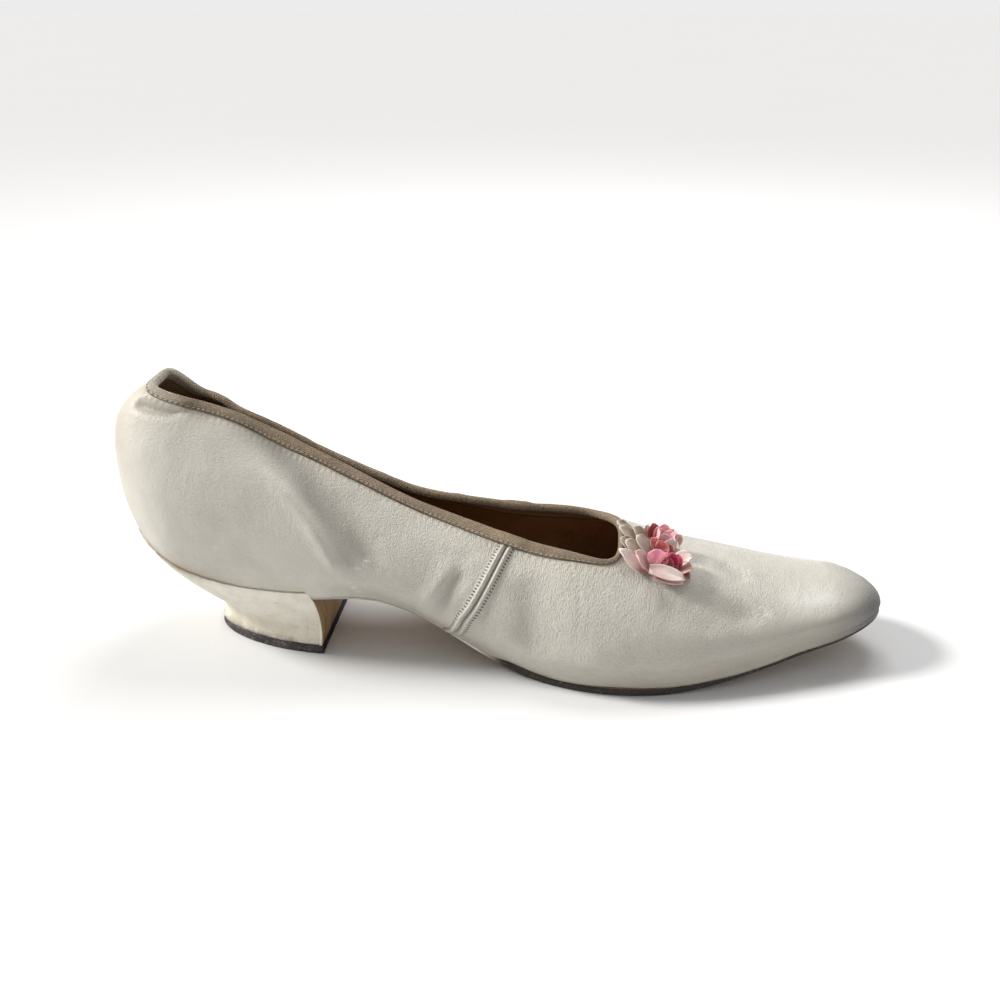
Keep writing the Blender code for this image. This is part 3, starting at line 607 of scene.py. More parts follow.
def collar_share(at, side):
    """How far up the arch the edge of the opening lies: 1, the crest, from the throat on."""
    inside = np.minimum(at, THROAT)
    square = by_side(side, THROAT_SQUARE_LATERAL, THROAT_SQUARE_MEDIAL)
    half = by_side(side, OPEN["lateral"](inside), OPEN["medial"](inside))
    half = half * round_end((THROAT - inside) / THROAT_ROUND, square)
    reach = by_side(side, SECTION["lateral"](at), SECTION["medial"](at)) - side * SECTION["crest"](at)
    share = arch_share(np.clip(half / reach, 0, 1), SECTION["full"](at))
    return np.where(at < THROAT, share, 1.0)


def face(at, side, climb):
    """Points of the upper's smooth outer face, as if it had no opening."""
    at, side, climb = np.broadcast_arrays(*(np.asarray(v, float) for v in (at, side, climb)))
    toe_end = round_end((1 - at) / TOE_ROUND)
    ends = round_end(at / HEEL_ROUND) * toe_end
    crest = BALL_WIDTH * SECTION["crest"](at) * ends
    widest = side * BALL_WIDTH * by_side(side, SECTION["lateral"](at), SECTION["medial"](at)) * ends
    tuck = BALL_WIDTH * SECTION["tuck"](at) * ends
    rise = INSTEP_HEIGHT * SECTION["rise"](at) * toe_end
    drop = by_side(side, 0, OPEN["drop"](at))
    height = INSTEP_HEIGHT * (SECTION["crown"](at) - drop) * toe_end - rise
    full = SECTION["full"](at)

    # Below the widest line: a round arc, upright where it meets the line
    start = np.maximum(2 * np.arctan2(tuck, rise), LEAST_TURN)
    radius = rise / np.sin(start)
    turn = start * (1 - np.clip(climb / LOW_SHARE, 0, 1))
    low_y = widest - side * radius * (1 - np.cos(turn))
    low_z = rise - radius * np.sin(turn)

    # Above it: the arch
    share = np.clip((climb - LOW_SHARE) / (1 - LOW_SHARE), 0, 1)
    across, over = arch(share, full)
    low = climb < LOW_SHARE
    y = np.where(low, low_y, crest + (widest - crest) * across)
    z = np.where(low, low_z, rise + height * over)

    # The back curves in above and below its widest line, and the toe swells over the feather edge
    collar_height = arch(collar_share(at, side), full)[1]
    under = BACK_TUCK * np.clip(1 - z / np.maximum(rise, LEAST_SIZE), 0, 1) ** 2
    lean = BACK_LEAN * np.clip(over / collar_height, 0, PAST_EDGE) ** BACK_LEAN_POWER
    back = (BACK_SET + np.where(low, under, lean)) * (1 - ease(at / BACK_FADE))
    swell = TOE_BULGE * np.sin(np.clip(z / TOE_BULGE_HEIGHT, 0, 1) * QUARTER_TURN)
    x = LENGTH * at + back + swell * ease((at - TREAD_END) / (1 - TREAD_END))

    # The worn edge of the opening strays a little
    near = np.clip(over / collar_height, 0, PAST_EDGE) ** COLLAR_STRAY_POWER * ~low * (at < THROAT)
    x = x + MM * near * STRAY["forward"](at)
    z = z + MM * near * by_side(side, STRAY["lateral"](at), STRAY["medial"](at))
    return np.stack([x, y, feather_height(at) + z], -1) + SHIFT


def face_slopes(at, side, climb):
    """How the face runs with station and with climb."""
    step = SLOPE_STEP
    at = np.clip(np.asarray(at, float), 2 * step, 1 - 2 * step)
    climb = np.asarray(climb, float)
    high = np.minimum(climb + step, 1.0)
    low = np.maximum(climb - step, 0.0)
    along = (face(at + step, side, climb) - face(at - step, side, climb)) / (2 * step)
    climbing = (face(at, side, high) - face(at, side, low)) / (high - low)[..., None]
    return along, climbing


def face_normal(at, side, climb):
    """The face's outward normal. At the back and at the toe's tip it has no sideways part."""
    at, side, climb = np.broadcast_arrays(*(np.asarray(v, float) for v in (at, side, climb)))
    along, climbing = face_slopes(at, side, climb)
    normal = np.cross(along, climbing) * -side[..., None]
    pole = (at < POLE) | (at > 1 - POLE)
    normal[..., 1] = np.where(pole, 0.0, normal[..., 1])
    return unit(normal)


def surface_place(at, side, climb):
    """Flat coordinates of the leather in metres, continuous over the crest: along, and across from it."""
    return LENGTH * np.asarray(at), np.asarray(side) * HALF_GIRTH * (1 - np.asarray(climb))


def path_distance(path, side, u, w):
    """Signed distance in metres from a path on one side of the shoe, and the share run along it."""
    path = np.array(path)
    knots = np.linspace(0, 1, len(path))
    fine = np.linspace(0, 1, PATH_POINTS)
    rows = [dict(t=t, at=a, climb=c) for t, (a, c) in zip(knots, path)]
    at = natural_spline(rows, "t", "at")(fine)
    climb = natural_spline(rows, "t", "climb")(fine)
    pu, pw = surface_place(at, side, climb)
    best = np.full(u.shape, FAR_OFF)
    signed = np.full(u.shape, FAR_OFF)
    run = np.zeros(u.shape)
    for i in range(len(fine) - 1):
        du = pu[i + 1] - pu[i]
        dw = pw[i + 1] - pw[i]
        length = du * du + dw * dw
        share = np.clip(((u - pu[i]) * du + (w - pw[i]) * dw) / length, 0, 1)
        off_u = u - pu[i] - share * du
        off_w = w - pw[i] - share * dw
        distance = np.hypot(off_u, off_w)
        nearer = distance < best
        best = np.where(nearer, distance, best)
        turned = np.where(du * off_w - dw * off_u > 0, 1.0, -1.0)
        signed = np.where(nearer, distance * turned, signed)
        run = np.where(nearer, (i + share) / (len(fine) - 1), run)
    return signed, run


def crease_relief(at, side, climb):
    """How far the creases and dents lift the leather, in metres."""
    at, side, climb = np.broadcast_arrays(*(np.asarray(v, float) for v in (at, side, climb)))
    depth = bpy.context.scene.pump_leather.crease_depth * MM
    u, w = surface_place(at, side, climb)
    relief = np.zeros(at.shape)
    for crease in CREASES:
        signed, run = path_distance(crease.path, crease.side, u, w)
        width = crease.width * MM
        taper = ease(run / CREASE_TAPER) * ease((1 - run) / CREASE_TAPER)
        lip_place = math.copysign(1.0, crease.lip) * LIP_PLACE * width
        lip = abs(crease.lip) * bell(signed - lip_place, width)
        relief += depth * (crease.depth * bell(signed, width) + lip) * taper
    for dent in DENTS:
        du, dw = surface_place(dent["at"], dent["side"], dent["climb"])
        distance = np.hypot(u - du, w - dw)
        relief += depth * dent["depth"] * bell(distance, dent["width"] * MM)
    return relief * ease(at / RELIEF_FADE) * ease((1 - at) / RELIEF_FADE)


def slack_relief(points):
    """A slow unevenness of the leather, the same on both sides of a shared edge."""
    flat = points.reshape(-1, 3)
    waves = np.empty(len(flat))
    for i, point in enumerate(flat):
        place = Vector(point)
        waves[i] = noise.noise(place * 45.0) + 0.45 * noise.noise(place * 110.0 + Vector((3.0, 1.0, 2.0)))
    return SLACK_DEPTH * waves.reshape(points.shape[:-1])


def seam_relief(across):
    """Two welts with a groove between them, by the distance from the seam's middle line."""
    off = np.abs(across)
    bed = ease((SEAM_WIDTH / 2 + SEAM_MARGIN - off) / SEAM_SLOPE)
    welts = bell(off - WELT_PLACE, WELT_WIDTH)
    groove = bell(across, GROOVE_WIDTH)
    return SEAM_BED * bed + WELT_HEIGHT * welts - GROOVE_DEPTH * groove


def leather(at, side, climb):
    """Points and normals of the creased leather's outer face, without the seam's welts."""
    points = face(at, side, climb)
    normals = face_normal(at, side, climb)
    relief = crease_relief(at, side, climb) + slack_relief(points)
    return points + normals * relief[..., None], normals, relief


def waist_share(at):
    """1 in the waist, where the kid is drawn down over the sole's edge, fading to 0 at its ends."""
    return ease((at - SKIRT_START) / SKIRT_START_EASE) * ease((SKIRT_END - at) / SKIRT_END_EASE)


def toe_share(at):
    """Runs from 0 on the tread to 1 at the toe, where the kid hides part of the sole's edge."""
    return ease((at - TOE_SKIRT_START) / TOE_SKIRT_EASE)


def fine_lines():
    """Lines of the fine mesh, heel to toe: each one's station at the feather edge and at the opening."""
    lines = []
    for i in range(HEEL_LINES):
        at = HEEL_ROUND * (1 - math.cos(QUARTER_TURN * i / HEEL_LINES))
        lines.append((at, at))
    seam = np.array([*SEAM_LINES, 0.0, *(-shift for shift in reversed(SEAM_LINES))]) * MM / LENGTH
    for share in np.linspace(0, 1, QUARTER_LINES + 1)[:-1]:
        foot = HEEL_ROUND + (SEAM_FOOT + seam[0] - HEEL_ROUND) * share
        top = HEEL_ROUND + (SEAM_TOP + seam[0] - HEEL_ROUND) * share
        lines.append((foot, top))
    for shift in seam:
        lines.append((SEAM_FOOT + shift, SEAM_TOP + shift))
    tops = list(np.linspace(SEAM_TOP + seam[-1], THROAT - THROAT_ROUND, BESIDE_LINES + 1)[1:-1])
    square = max(THROAT_SQUARE_LATERAL, THROAT_SQUARE_MEDIAL)
    for i in range(THROAT_LINES, 0, -1):
        width = math.sin(QUARTER_TURN * i / THROAT_LINES)
        tops.append(THROAT - THROAT_ROUND * (1 - (1 - width**square) ** (1 / square)))
    feet = np.linspace(SEAM_FOOT + seam[-1], THROAT_FOOT, len(tops) + 2)[1:-1]
    lines += [(float(foot), float(top)) for foot, top in zip(feet, tops)]
    for share in np.linspace(0, 1, VAMP_LINES + 1)[:-1]:
        foot = THROAT_FOOT + (1 - TOE_ROUND - THROAT_FOOT) * share
        top = THROAT + (1 - TOE_ROUND - THROAT) * share
        lines.append((foot, top))
    for i in range(TOE_LINES + 1):
        at = 1 - TOE_ROUND + TOE_ROUND * math.sin(QUARTER_TURN * i / TOE_LINES)
        lines.append((at, at))
    return np.array(lines)


def climb_at(level, at, side):
    """The climb at a level of the upper, where level 1 is the edge of the opening."""
    return np.where(level < LOW_SHARE, level, LOW_SHARE + (level - LOW_SHARE) * collar_share(at, side))


def line_places(lines, side, levels):
    """Stations and climbs of the mesh lines at the levels. They swing forward round the throat."""
    foot = lines[:, :1]
    top = lines[:, 1:]
    up = levels[None, :]
    swing = ease((top - SEAM_TOP) / (THROAT - SEAM_TOP)) * ease((1 - top) / (1 - THROAT))
    at = foot + (top - foot) * up + LINE_SWING * swing * 4 * up * (1 - up)
    return at, climb_at(up, top, side)


def new_object(name, data):
    """An object of the scene, from its mesh, lamp or camera."""
    made = bpy.data.objects.new(name, data)
    bpy.context.scene.collection.objects.link(made)
    return made


def finish_piece(made, node_names):
    """Makes a piece ride on the shoe and stand for CAD nodes, which it hides."""
    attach(made, "root")
    if node_names:
        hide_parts(*node_names)
    return made


def set_attribute(mesh, name, values):
    """A value of each point of a mesh, for its material."""
    stored = mesh.attributes.new(name, "FLOAT", "POINT")
    stored.data.foreach_set("value", np.asarray(values, np.float32))


def set_uv(mesh, name, places):
    """A UV map from a place for each point of a mesh."""
    layer = mesh.uv_layers.new(name=name)
    corners = np.empty(len(mesh.loops), np.int32)
    mesh.loops.foreach_get("vertex_index", corners)
    layer.data.foreach_set("uv", np.asarray(places, np.float32)[corners].ravel())


def mesh_from(name, points, faces):
    """A smooth mesh from an array of points and a list of faces."""
    mesh = bpy.data.meshes.new(name)
    mesh.from_pydata([tuple(p) for p in points], [], faces)
    mesh.validate()
    mesh.shade_smooth()
    return mesh


def point_outwards(mesh):
    """Turns a closed mesh's faces outwards."""
    bm = bmesh.new()
    bm.from_mesh(mesh)
    bmesh.ops.recalc_face_normals(bm, faces=bm.faces)
    bm.to_mesh(mesh)
    bm.free()


def weld(mesh, distance, outwards=False):
    """Merges a mesh's points that lie together, and turns its faces outwards if asked to."""
    bm = bmesh.new()
    bm.from_mesh(mesh)
    bmesh.ops.remove_doubles(bm, verts=bm.verts, dist=distance)
    bmesh.ops.dissolve_degenerate(bm, edges=bm.edges, dist=LEAST_EDGE)
    if outwards:
        bmesh.ops.recalc_face_normals(bm, faces=bm.faces)
    bm.to_mesh(mesh)
    bm.free()
    mesh.shade_smooth()


def shaded(colour, share):
    """A colour made darker, or paler by a share over 1."""
    return tuple(c * share for c in colour)


def add_node(tree, kind, settings=None, inputs=None):
    """Adds a node to a tree: its settings first, then its sockets' values or links."""
    made = tree.nodes.new(kind)
    for name, value in (settings or {}).items():
        setattr(made, name, value)
    for key, value in (inputs or {}).items():
        socket = made.inputs[key]
        if isinstance(value, bpy.types.NodeSocket):
            tree.links.new(value, socket)
        elif socket.type == "RGBA":
            socket.default_value = (*value[:3], 1.0)
        else:
            socket.default_value = value
    return made


class Value:
    """A socket of a finish's nodes, on which sums can be written."""

    def __init__(self, finish, socket):
        self.finish = finish
        self.socket = socket

    def math(self, operation, *others, clamp=False):
        inputs = {i: other for i, other in enumerate((self, *others))}
        return self.finish.node("ShaderNodeMath", {"operation": operation, "use_clamp": clamp}, inputs)

    def __add__(self, other):
        return self.math("ADD", other)

    __radd__ = __add__

    def __mul__(self, other):
        return self.math("MULTIPLY", other)

    __rmul__ = __mul__

    def __sub__(self, other):
        return self.math("SUBTRACT", other)

    def __rsub__(self, other):
        return (self * -1.0) + other

    def clamped(self):
        return self.math("ADD", 0.0, clamp=True)

    def wave(self, pitch):
        """Swings between -1 and 1, once in each pitch."""
        return (self * (2 * math.pi / pitch)).math("SINE")

    def between(self, low, high):
        """0 below low, 1 above high, eased between; high below low turns it round."""
        inputs = {"Value": self, "From Min": low, "From Max": high, "To Min": 0.0, "To Max": 1.0}
        if high < low:
            inputs.update({"From Min": high, "From Max": low, "To Min": 1.0, "To Max": 0.0})
        return self.finish.node("ShaderNodeMapRange", {"interpolation_type": "SMOOTHSTEP"}, inputs)


class Finish:
    """A material in the making: a Principled shader and the nodes in front of it."""

    def __init__(self, name, constants):
        self.material = bpy.data.materials.new(name)
        self.material.use_nodes = True
        self.tree = self.material.node_tree
        self.shader = self.tree.nodes["Principled BSDF"]
        for socket, value in constants.items():
            self.shader.inputs[socket].default_value = value

    def node(self, kind, settings=None, inputs=None, output=0):
        """Adds a node and gives one of its outputs."""
        sockets = {}
        for key, value in (inputs or {}).items():
            sockets[key] = value.socket if isinstance(value, Value) else value
        return Value(self, add_node(self.tree, kind, settings, sockets).outputs[output])

    def mix(self, factor, low, high):
        """A colour between two colours."""
        settings = {"data_type": "RGBA", "clamp_factor": True}
        return self.node("ShaderNodeMix", settings, {0: factor, 6: low, 7: high}, output=2)

    def attribute(self, name, output=2):
        """A stored number, or with output 0 a stored colour."""
        return self.node("ShaderNodeAttribute", {"attribute_name": name}, output=output)

    def place(self, uv=None):
        """Object coordinates, or a UV map's."""
        if uv:
            return self.node("ShaderNodeUVMap", {"uv_map": uv})
        return self.node("ShaderNodeTexCoord", output=3)

    def split(self, vector, axis):
        return self.node("ShaderNodeSeparateXYZ", inputs={0: vector}, output=axis)

    def scaled(self, vector, scale):
        return self.node("ShaderNodeVectorMath", {"operation": "MULTIPLY"}, {0: vector, 1: scale})

    def noise(self, vector, scale=1.0, detail=3.0, rough=0.55, distortion=0.0):
        inputs = {
            "Vector": vector,
            "Scale": scale,
            "Detail": detail,
            "Roughness": rough,
            "Distortion": distortion,
        }
        return self.node("ShaderNodeTexNoise", inputs=inputs)

    def cells(self, vector, scale):
        return self.node("ShaderNodeTexVoronoi", inputs={"Vector": vector, "Scale": scale})

    def bump(self, height, distance, normal=None):
        inputs = {"Height": height, "Distance": distance}
        if normal:
            inputs["Normal"] = normal
        return self.node("ShaderNodeBump", inputs=inputs)

    def use(self, **sockets):
        """Links values to the shader's sockets, named with underscores for spaces."""
        for name, value in sockets.items():
            self.tree.links.new(value.socket, self.shader.inputs[name.replace("_", " ").title()])


def kid_finish(name="kid_leather"):
    """Soft white kid: fine creased grain, slow colour drift, darker from the quarters on, yellow and grey
    dirt, pale scratches; painted shade in folds, grain pits, stitch holes and seam groove, and a painted
    highlight on the toe.
    """
    looks = bpy.context.scene.pump_leather
    made = Finish(name, {"Specular IOR Level": 0.42, "Coat Roughness": 0.38})
    surface = made.place("surface")
    soil = made.attribute("soil")
    grime = made.attribute("grime")
    hem = made.attribute("hem")
    seam = made.attribute("seam")
    seam_run = made.attribute("seam_run")
    back = made.attribute("back")
    drift = made.noise(surface, scale=34.0, detail=4.0, rough=0.6)
    blotch = made.noise(surface, scale=120.0, detail=5.0, rough=0.65)
    speck = made.noise(surface, scale=900.0, detail=4.0, rough=0.7)

    # Grain: short upright wrinkles on the vamp, turning level towards the back
    upright = made.noise(made.scaled(surface, (2600.0, 1500.0, 1.0)), detail=2.0, distortion=0.5)
    level = made.noise(made.scaled(surface, (900.0, 2600.0, 1.0)), detail=2.0, distortion=0.4)
    pores = made.cells(made.scaled(surface, (1900.0, 1300.0, 1.0)), 1.0)
    wrinkles = upright * (1.0 - back * 0.9) + level * back * 0.45
    slow = made.noise(made.scaled(surface, (160.0, 90.0, 1.0)), detail=2.0, distortion=0.4)

    # Stitch holes beside the seam's welts, and puckers under the tape
    across = seam.math("ABSOLUTE")
    row = across.between(0.00152, 0.00172) * across.between(0.00250, 0.00222)
    beat = seam_run.wave(SEAM_PITCH)
    holes = row * beat.between(-0.1, 0.5)
    groove = across.between(0.00034, 0.00012)
    run = made.attribute("run")
    pull = (run * (2 * math.pi / 0.0020) + blotch * 5.0).math("SINE")
    pucker = pull * hem.between(0.0070, 0.0042) * hem.between(0.0030, 0.0040)

    # The kid is darker from the quarters forward, and keeps its full tone at the back
    rubbed = made.mix(back, shaded(looks.kid, 0.90), looks.kid)
    clean = made.mix(drift.between(0.35, 0.72) * 0.6, rubbed, shaded(looks.kid, 0.80))
    warm = made.mix(blotch.between(0.48, 0.80) * 0.30, clean, KID_WARM)
    # Yellow and grey dirt, and in the folds painted shade in the same colours
    dirty = made.mix((soil * (0.35 + blotch * 1.3)).clamped(), warm, looks.soil)
    greyed = made.mix((grime * (0.3 + speck * 1.2)).clamped(), dirty, looks.grime)
    specks = made.mix(speck.between(0.69, 0.76) * 0.35, greyed, looks.soil)
    scratched = made.mix(made.attribute("scratch"), specks, KID_SCRATCH)
    # Painted shade in the grain's pits
    grain_pit_shade = upright.between(0.50, 0.32) * 0.30 * (1.0 - back * 0.8)
    hollow = made.mix(grain_pit_shade, scratched, shaded(looks.kid, 0.62))
    # A highlight painted on the toe's top
    shine = made.attribute("shine")
    worn = made.mix(shine * 0.5, hollow, KID_PAINTED_HIGHLIGHT)
    # Painted shade in the stitch holes and the seam's groove
    base = made.mix((holes * 0.92 + groove * 0.55).clamped(), worn, STITCH_HOLE_SHADE)
    made.use(base_color=base, roughness=0.38 + blotch * 0.16 + soil * 0.12 - shine * 0.10)
    made.shader.inputs["Coat Weight"].default_value = 0.12
    depth = looks.grain_depth
    grain = made.bump(wrinkles + pores * 0.30 * (1.0 - back * 0.7), depth)
    soft = made.bump(slow * (1.0 - back * 0.6), depth * 1.3, grain)
    made.use(normal=made.bump(pucker * 0.25 - holes * 2.2, 0.00018, soft))
    return made.material


def lining_finish():
    """Brown lining of fine twill, worn shiny and stained."""
    looks = bpy.context.scene.pump_leather
    made = Finish("twill_lining", {"Specular IOR Level": 0.25})
    surface = made.place("surface")
    u = made.split(surface, 0)
    w = made.split(surface, 1)
    rib = (u + w * 0.8).wave(0.00075)
    cross = w.wave(0.00060)
    stain = made.noise(surface, scale=60.0, detail=4.0)
    colour = made.mix(stain.between(0.3, 0.75), looks.lining, shaded(looks.lining, 1.5))
    lined = made.mix(rib.between(-0.2, 0.9) * 0.35, colour, shaded(looks.lining, 0.45))
    hem = made.attribute("hem")
    facing = made.mix(hem.between(0.0098, 0.0088), lined, FACING)
    edged = made.mix(hem.between(0.0102, 0.0097) * hem.between(0.0088, 0.0094), facing, FACING_EDGE)
    made.use(base_color=edged, roughness=0.78 - stain * 0.1)
    made.use(normal=made.bump(rib * 0.6 + cross * 0.25 + stain, 0.00010))
    return made.material


def tape_finish():
    """Woven tape: fine ribs over and under with painted shade in their hollows, stained and flecked, paler
    cream towards the back, and painted shade in the pits between its stitches and along its lower edge.
    """
    trim = bpy.context.scene.pump_trim
    made = Finish("woven_tape_cloth", {"Specular IOR Level": 0.2, "Sheen Weight": 0.15})
    weave = made.place("tape")
    u = made.split(weave, 0)
    v = made.split(weave, 1)
    warp = u.wave(0.00080)
    weft = v.wave(0.00084)
    check = warp * weft
    fuzz = made.noise(weave, scale=1700.0, detail=4.0, rough=0.8)
    stain = made.noise(weave, scale=85.0, detail=5.0, rough=0.65)
    colour = made.mix(stain.between(0.32, 0.72), trim.tape, shaded(trim.tape, 0.62))
    # Painted shade in the weave's hollows
    woven = made.mix(check.between(0.0, 0.9) * 0.45, colour, shaded(trim.tape, 0.42))
    pale = made.mix(fuzz.between(0.50, 0.66) * 0.55, woven, TAPE_PALE)
    dark = made.mix(fuzz.between(0.48, 0.34) * 0.65, pale, TAPE_DARK)
    dots = u.wave(trim.stitch_pitch).between(0.2, 0.8)
    row = v.between(0.0026, 0.0028) * v.between(0.0036, 0.0034)
    # Painted shade in the pits between the stitches and along the tape's lower edge
    hollow = (dots * row + v.between(0.0035, 0.0038)).clamped()
    cream = made.mix(made.attribute("back") * 0.85, dark, TAPE_CREAM)
    sewn = made.mix(hollow * 0.75, cream, TAPE_PAINTED_SHADE)
    made.use(base_color=sewn, roughness=0.84 + fuzz * 0.1)
    made.use(normal=made.bump(check * -0.5 + fuzz * 2.2 + stain - hollow, 0.00040))
    return made.material


def thread_finish(name, colour):
    """Twisted thread, with painted shade in the twist's hollows."""
    made = Finish(name, {"Roughness": 0.75, "Specular IOR Level": 0.25})
    place = made.place()
    twist = made.noise(place, scale=3400.0, detail=2.0)
    # Painted shade in the twist's hollows
    dark = made.mix(twist.between(0.35, 0.7), shaded(colour, 0.55), colour)
    made.use(base_color=dark, normal=made.bump(twist, 0.00008))
    return made.material


def heel_finish():
    """The heel's kid cover: yellowed, rubbed grey near the lift, cracked in fine level lines."""
    looks = bpy.context.scene.pump_leather
    made = Finish("heel_kid_cover", {"Specular IOR Level": 0.38, "Coat Roughness": 0.4})
    place = made.place()
    down = made.attribute("down")
    crack = made.noise(made.scaled(place, (210.0, 210.0, 1500.0)), detail=4.0, distortion=0.8)
    grain = made.noise(place, scale=1100.0, detail=3.0)
    blotch = made.noise(place, scale=150.0, detail=5.0, rough=0.65)
    upright = made.noise(made.scaled(place, (900.0, 900.0, 160.0)), detail=3.0)
    colour = made.mix(blotch.between(0.35, 0.7), looks.heel, shaded(looks.heel, 0.86))
    yellowing = (down.between(0.35, 0.95) * (0.15 + blotch * 0.9)).clamped() * 0.55
    yellow = made.mix(yellowing, colour, HEEL_YELLOW)
    rear = made.split(place, 0).between(-0.075, -0.115)
    seat = made.mix(down.between(0.20, 0.0) * blotch.between(0.25, 0.7) * rear, yellow, HEEL_SEAT)
    rubbed = made.mix(down.between(0.90, 1.0) * blotch.between(0.35, 0.6) * 0.7, seat, HEEL_RUBBED)
    cracked = made.mix(crack.between(0.64, 0.72) * 0.45, rubbed, HEEL_CRACK)
    streaks = upright.between(0.60, 0.74) * down.between(0.3, 0.8) * 0.35
    streaked = made.mix(streaks, cracked, HEEL_STREAK)
    made.use(base_color=streaked, roughness=0.45 + blotch * 0.2)
    made.use(normal=made.bump(crack * 0.8 + grain * 0.35, 0.00016))
    return made.material


def sole_finish():
    """Tanned sole leather: dark edge on the forepart, pale edge in the waist, streaked flap, worn tread."""
    looks = bpy.context.scene.pump_leather
    made = Finish("tanned_sole", {"Specular IOR Level": 0.35})
    place = made.place()
    edge = made.attribute("edge")
    fore = made.attribute("fore")
    flap = made.attribute("flap")
    tread = made.attribute("tread")
    fibre = made.noise(made.scaled(place, (900.0, 900.0, 130.0)), detail=4.0)
    blotch = made.noise(place, scale=110.0, detail=5.0, rough=0.65)
    fine = made.noise(place, scale=1300.0, detail=4.0, rough=0.7)
    streak = made.noise(made.scaled(place, (40.0, 300.0, 26.0)), detail=5.0, distortion=1.4)
    colour = made.mix(blotch.between(0.3, 0.75), looks.sole, shaded(looks.sole, 0.62))
    front = made.mix(streak.between(0.50, 0.66), shaded(looks.sole, 0.85), FLAP_STREAK)
    body = made.mix(flap, colour, front)
    scuffed = made.mix(tread * fine.between(0.42, 0.62) * 0.8, body, TREAD_SCUFF)
    pale = made.mix(blotch.between(0.4, 0.7), looks.heel, shaded(looks.heel, 0.70))
    worn = made.mix(fine.between(0.56, 0.70) * 0.75, looks.edge, EDGE_WORN)
    sides = made.mix(fore, pale, worn)
    base = made.mix(edge, scuffed, sides)
    made.use(base_color=base, roughness=0.58 + fine * 0.2)
    made.use(normal=made.bump(fine + fibre * 0.8 + streak * flap, 0.00016))
    return made.material


def lift_finish():
    """The top lift: nearly black stacked leather, rubbed grey on its edge, with painted shade making its
    front face darker still.
    """
    made = Finish("worn_top_lift", {"Specular IOR Level": 0.15})
    place = made.place()
    layer = made.noise(made.scaled(place, (160.0, 160.0, 2600.0)), detail=3.0, distortion=0.4)
    chip = made.noise(place, scale=700.0, detail=5.0, rough=0.75)
    blotch = made.noise(place, scale=140.0, detail=3.0)
    front = made.split(place, 0).between(-0.0556, -0.0550)
    dark = made.mix(blotch.between(0.35, 0.7), LIFT_BLACK, LIFT_BROWN)
    rubbed = made.mix(chip.between(0.55, 0.66) * (1.0 - front), dark, LIFT_RUBBED)
    lined = made.mix(layer.between(0.58, 0.68) * 0.5, rubbed, LIFT_LAYER)
    # Painted shade: the front face nearly black
    base = made.mix(front * 0.85, lined, LIFT_BREAST_SHADE)
    made.use(base_color=base, roughness=0.5 + chip * 0.3)
    made.use(normal=made.bump(chip + layer * 0.7, 0.00025))
    return made.material


def sock_finish():
    """The sock inside: brown, blotched darker and lighter, with fine dark specks."""
    looks = bpy.context.scene.pump_leather
    made = Finish("worn_sock", {"Specular IOR Level": 0.3})
    place = made.place()
    blotch = made.noise(place, scale=70.0, detail=5.0, rough=0.6)
    fine = made.noise(place, scale=1200.0, detail=3.0)
    colour = made.mix(blotch.between(0.35, 0.7), shaded(looks.lining, 1.7), looks.lining)
    made.use(base_color=made.mix(fine.between(0.5, 0.7) * 0.4, colour, SOCK_SPECK))
    made.use(roughness=0.6 + blotch * 0.2, normal=made.bump(fine * 0.5 + blotch, 0.00018))
    return made.material


def rose_finish():
    """Petal cloth: each petal in its own dye, with painted shade towards each petal's root, faded and
    browned in patches, and pale where it is frayed.
    """
    made = Finish("petal_cloth", {"Specular IOR Level": 0.2, "Sheen Weight": 0.12})
    place = made.place()
    tint = made.attribute("tint", output=0)
    deep = made.attribute("deep")
    frayed = made.attribute("frayed")
    blotch = made.noise(place, scale=520.0, detail=4.0, rough=0.6)
    weave = made.noise(place, scale=3200.0, detail=2.0)
    multiply = {"data_type": "RGBA", "blend_type": "MULTIPLY"}
    # Painted shade deep in the rose, towards each petal's root
    shade = made.node("ShaderNodeMix", multiply, {0: deep, 6: tint, 7: PETAL_ROOT_SHADE}, output=2)
    faded = made.mix(blotch.between(0.52, 0.75) * 0.35, shade, PETAL_FADED)
    brown = made.mix(blotch.between(0.30, 0.18) * 0.5, faded, PETAL_BROWN)
    pale = made.mix(frayed * weave.between(0.40, 0.6) * 0.30, brown, PETAL_FRAYED)
    made.use(base_color=pale, roughness=0.80 + weave * 0.15)
    made.use(normal=made.bump(weave + blotch, 0.00022))
    return made.material


def floor_finish():
    """Plain pale paper."""
    made = Finish("pale_paper", {"Roughness": 0.95, "Specular IOR Level": 0.1})
    place = made.place()
    drift = made.noise(place, scale=3.0, detail=2.0)
    floor = bpy.context.scene.pump_stage.floor
    made.use(base_color=made.mix(drift, floor, tuple(min(c * 1.02, 1.0) for c in floor)))
    return made.material


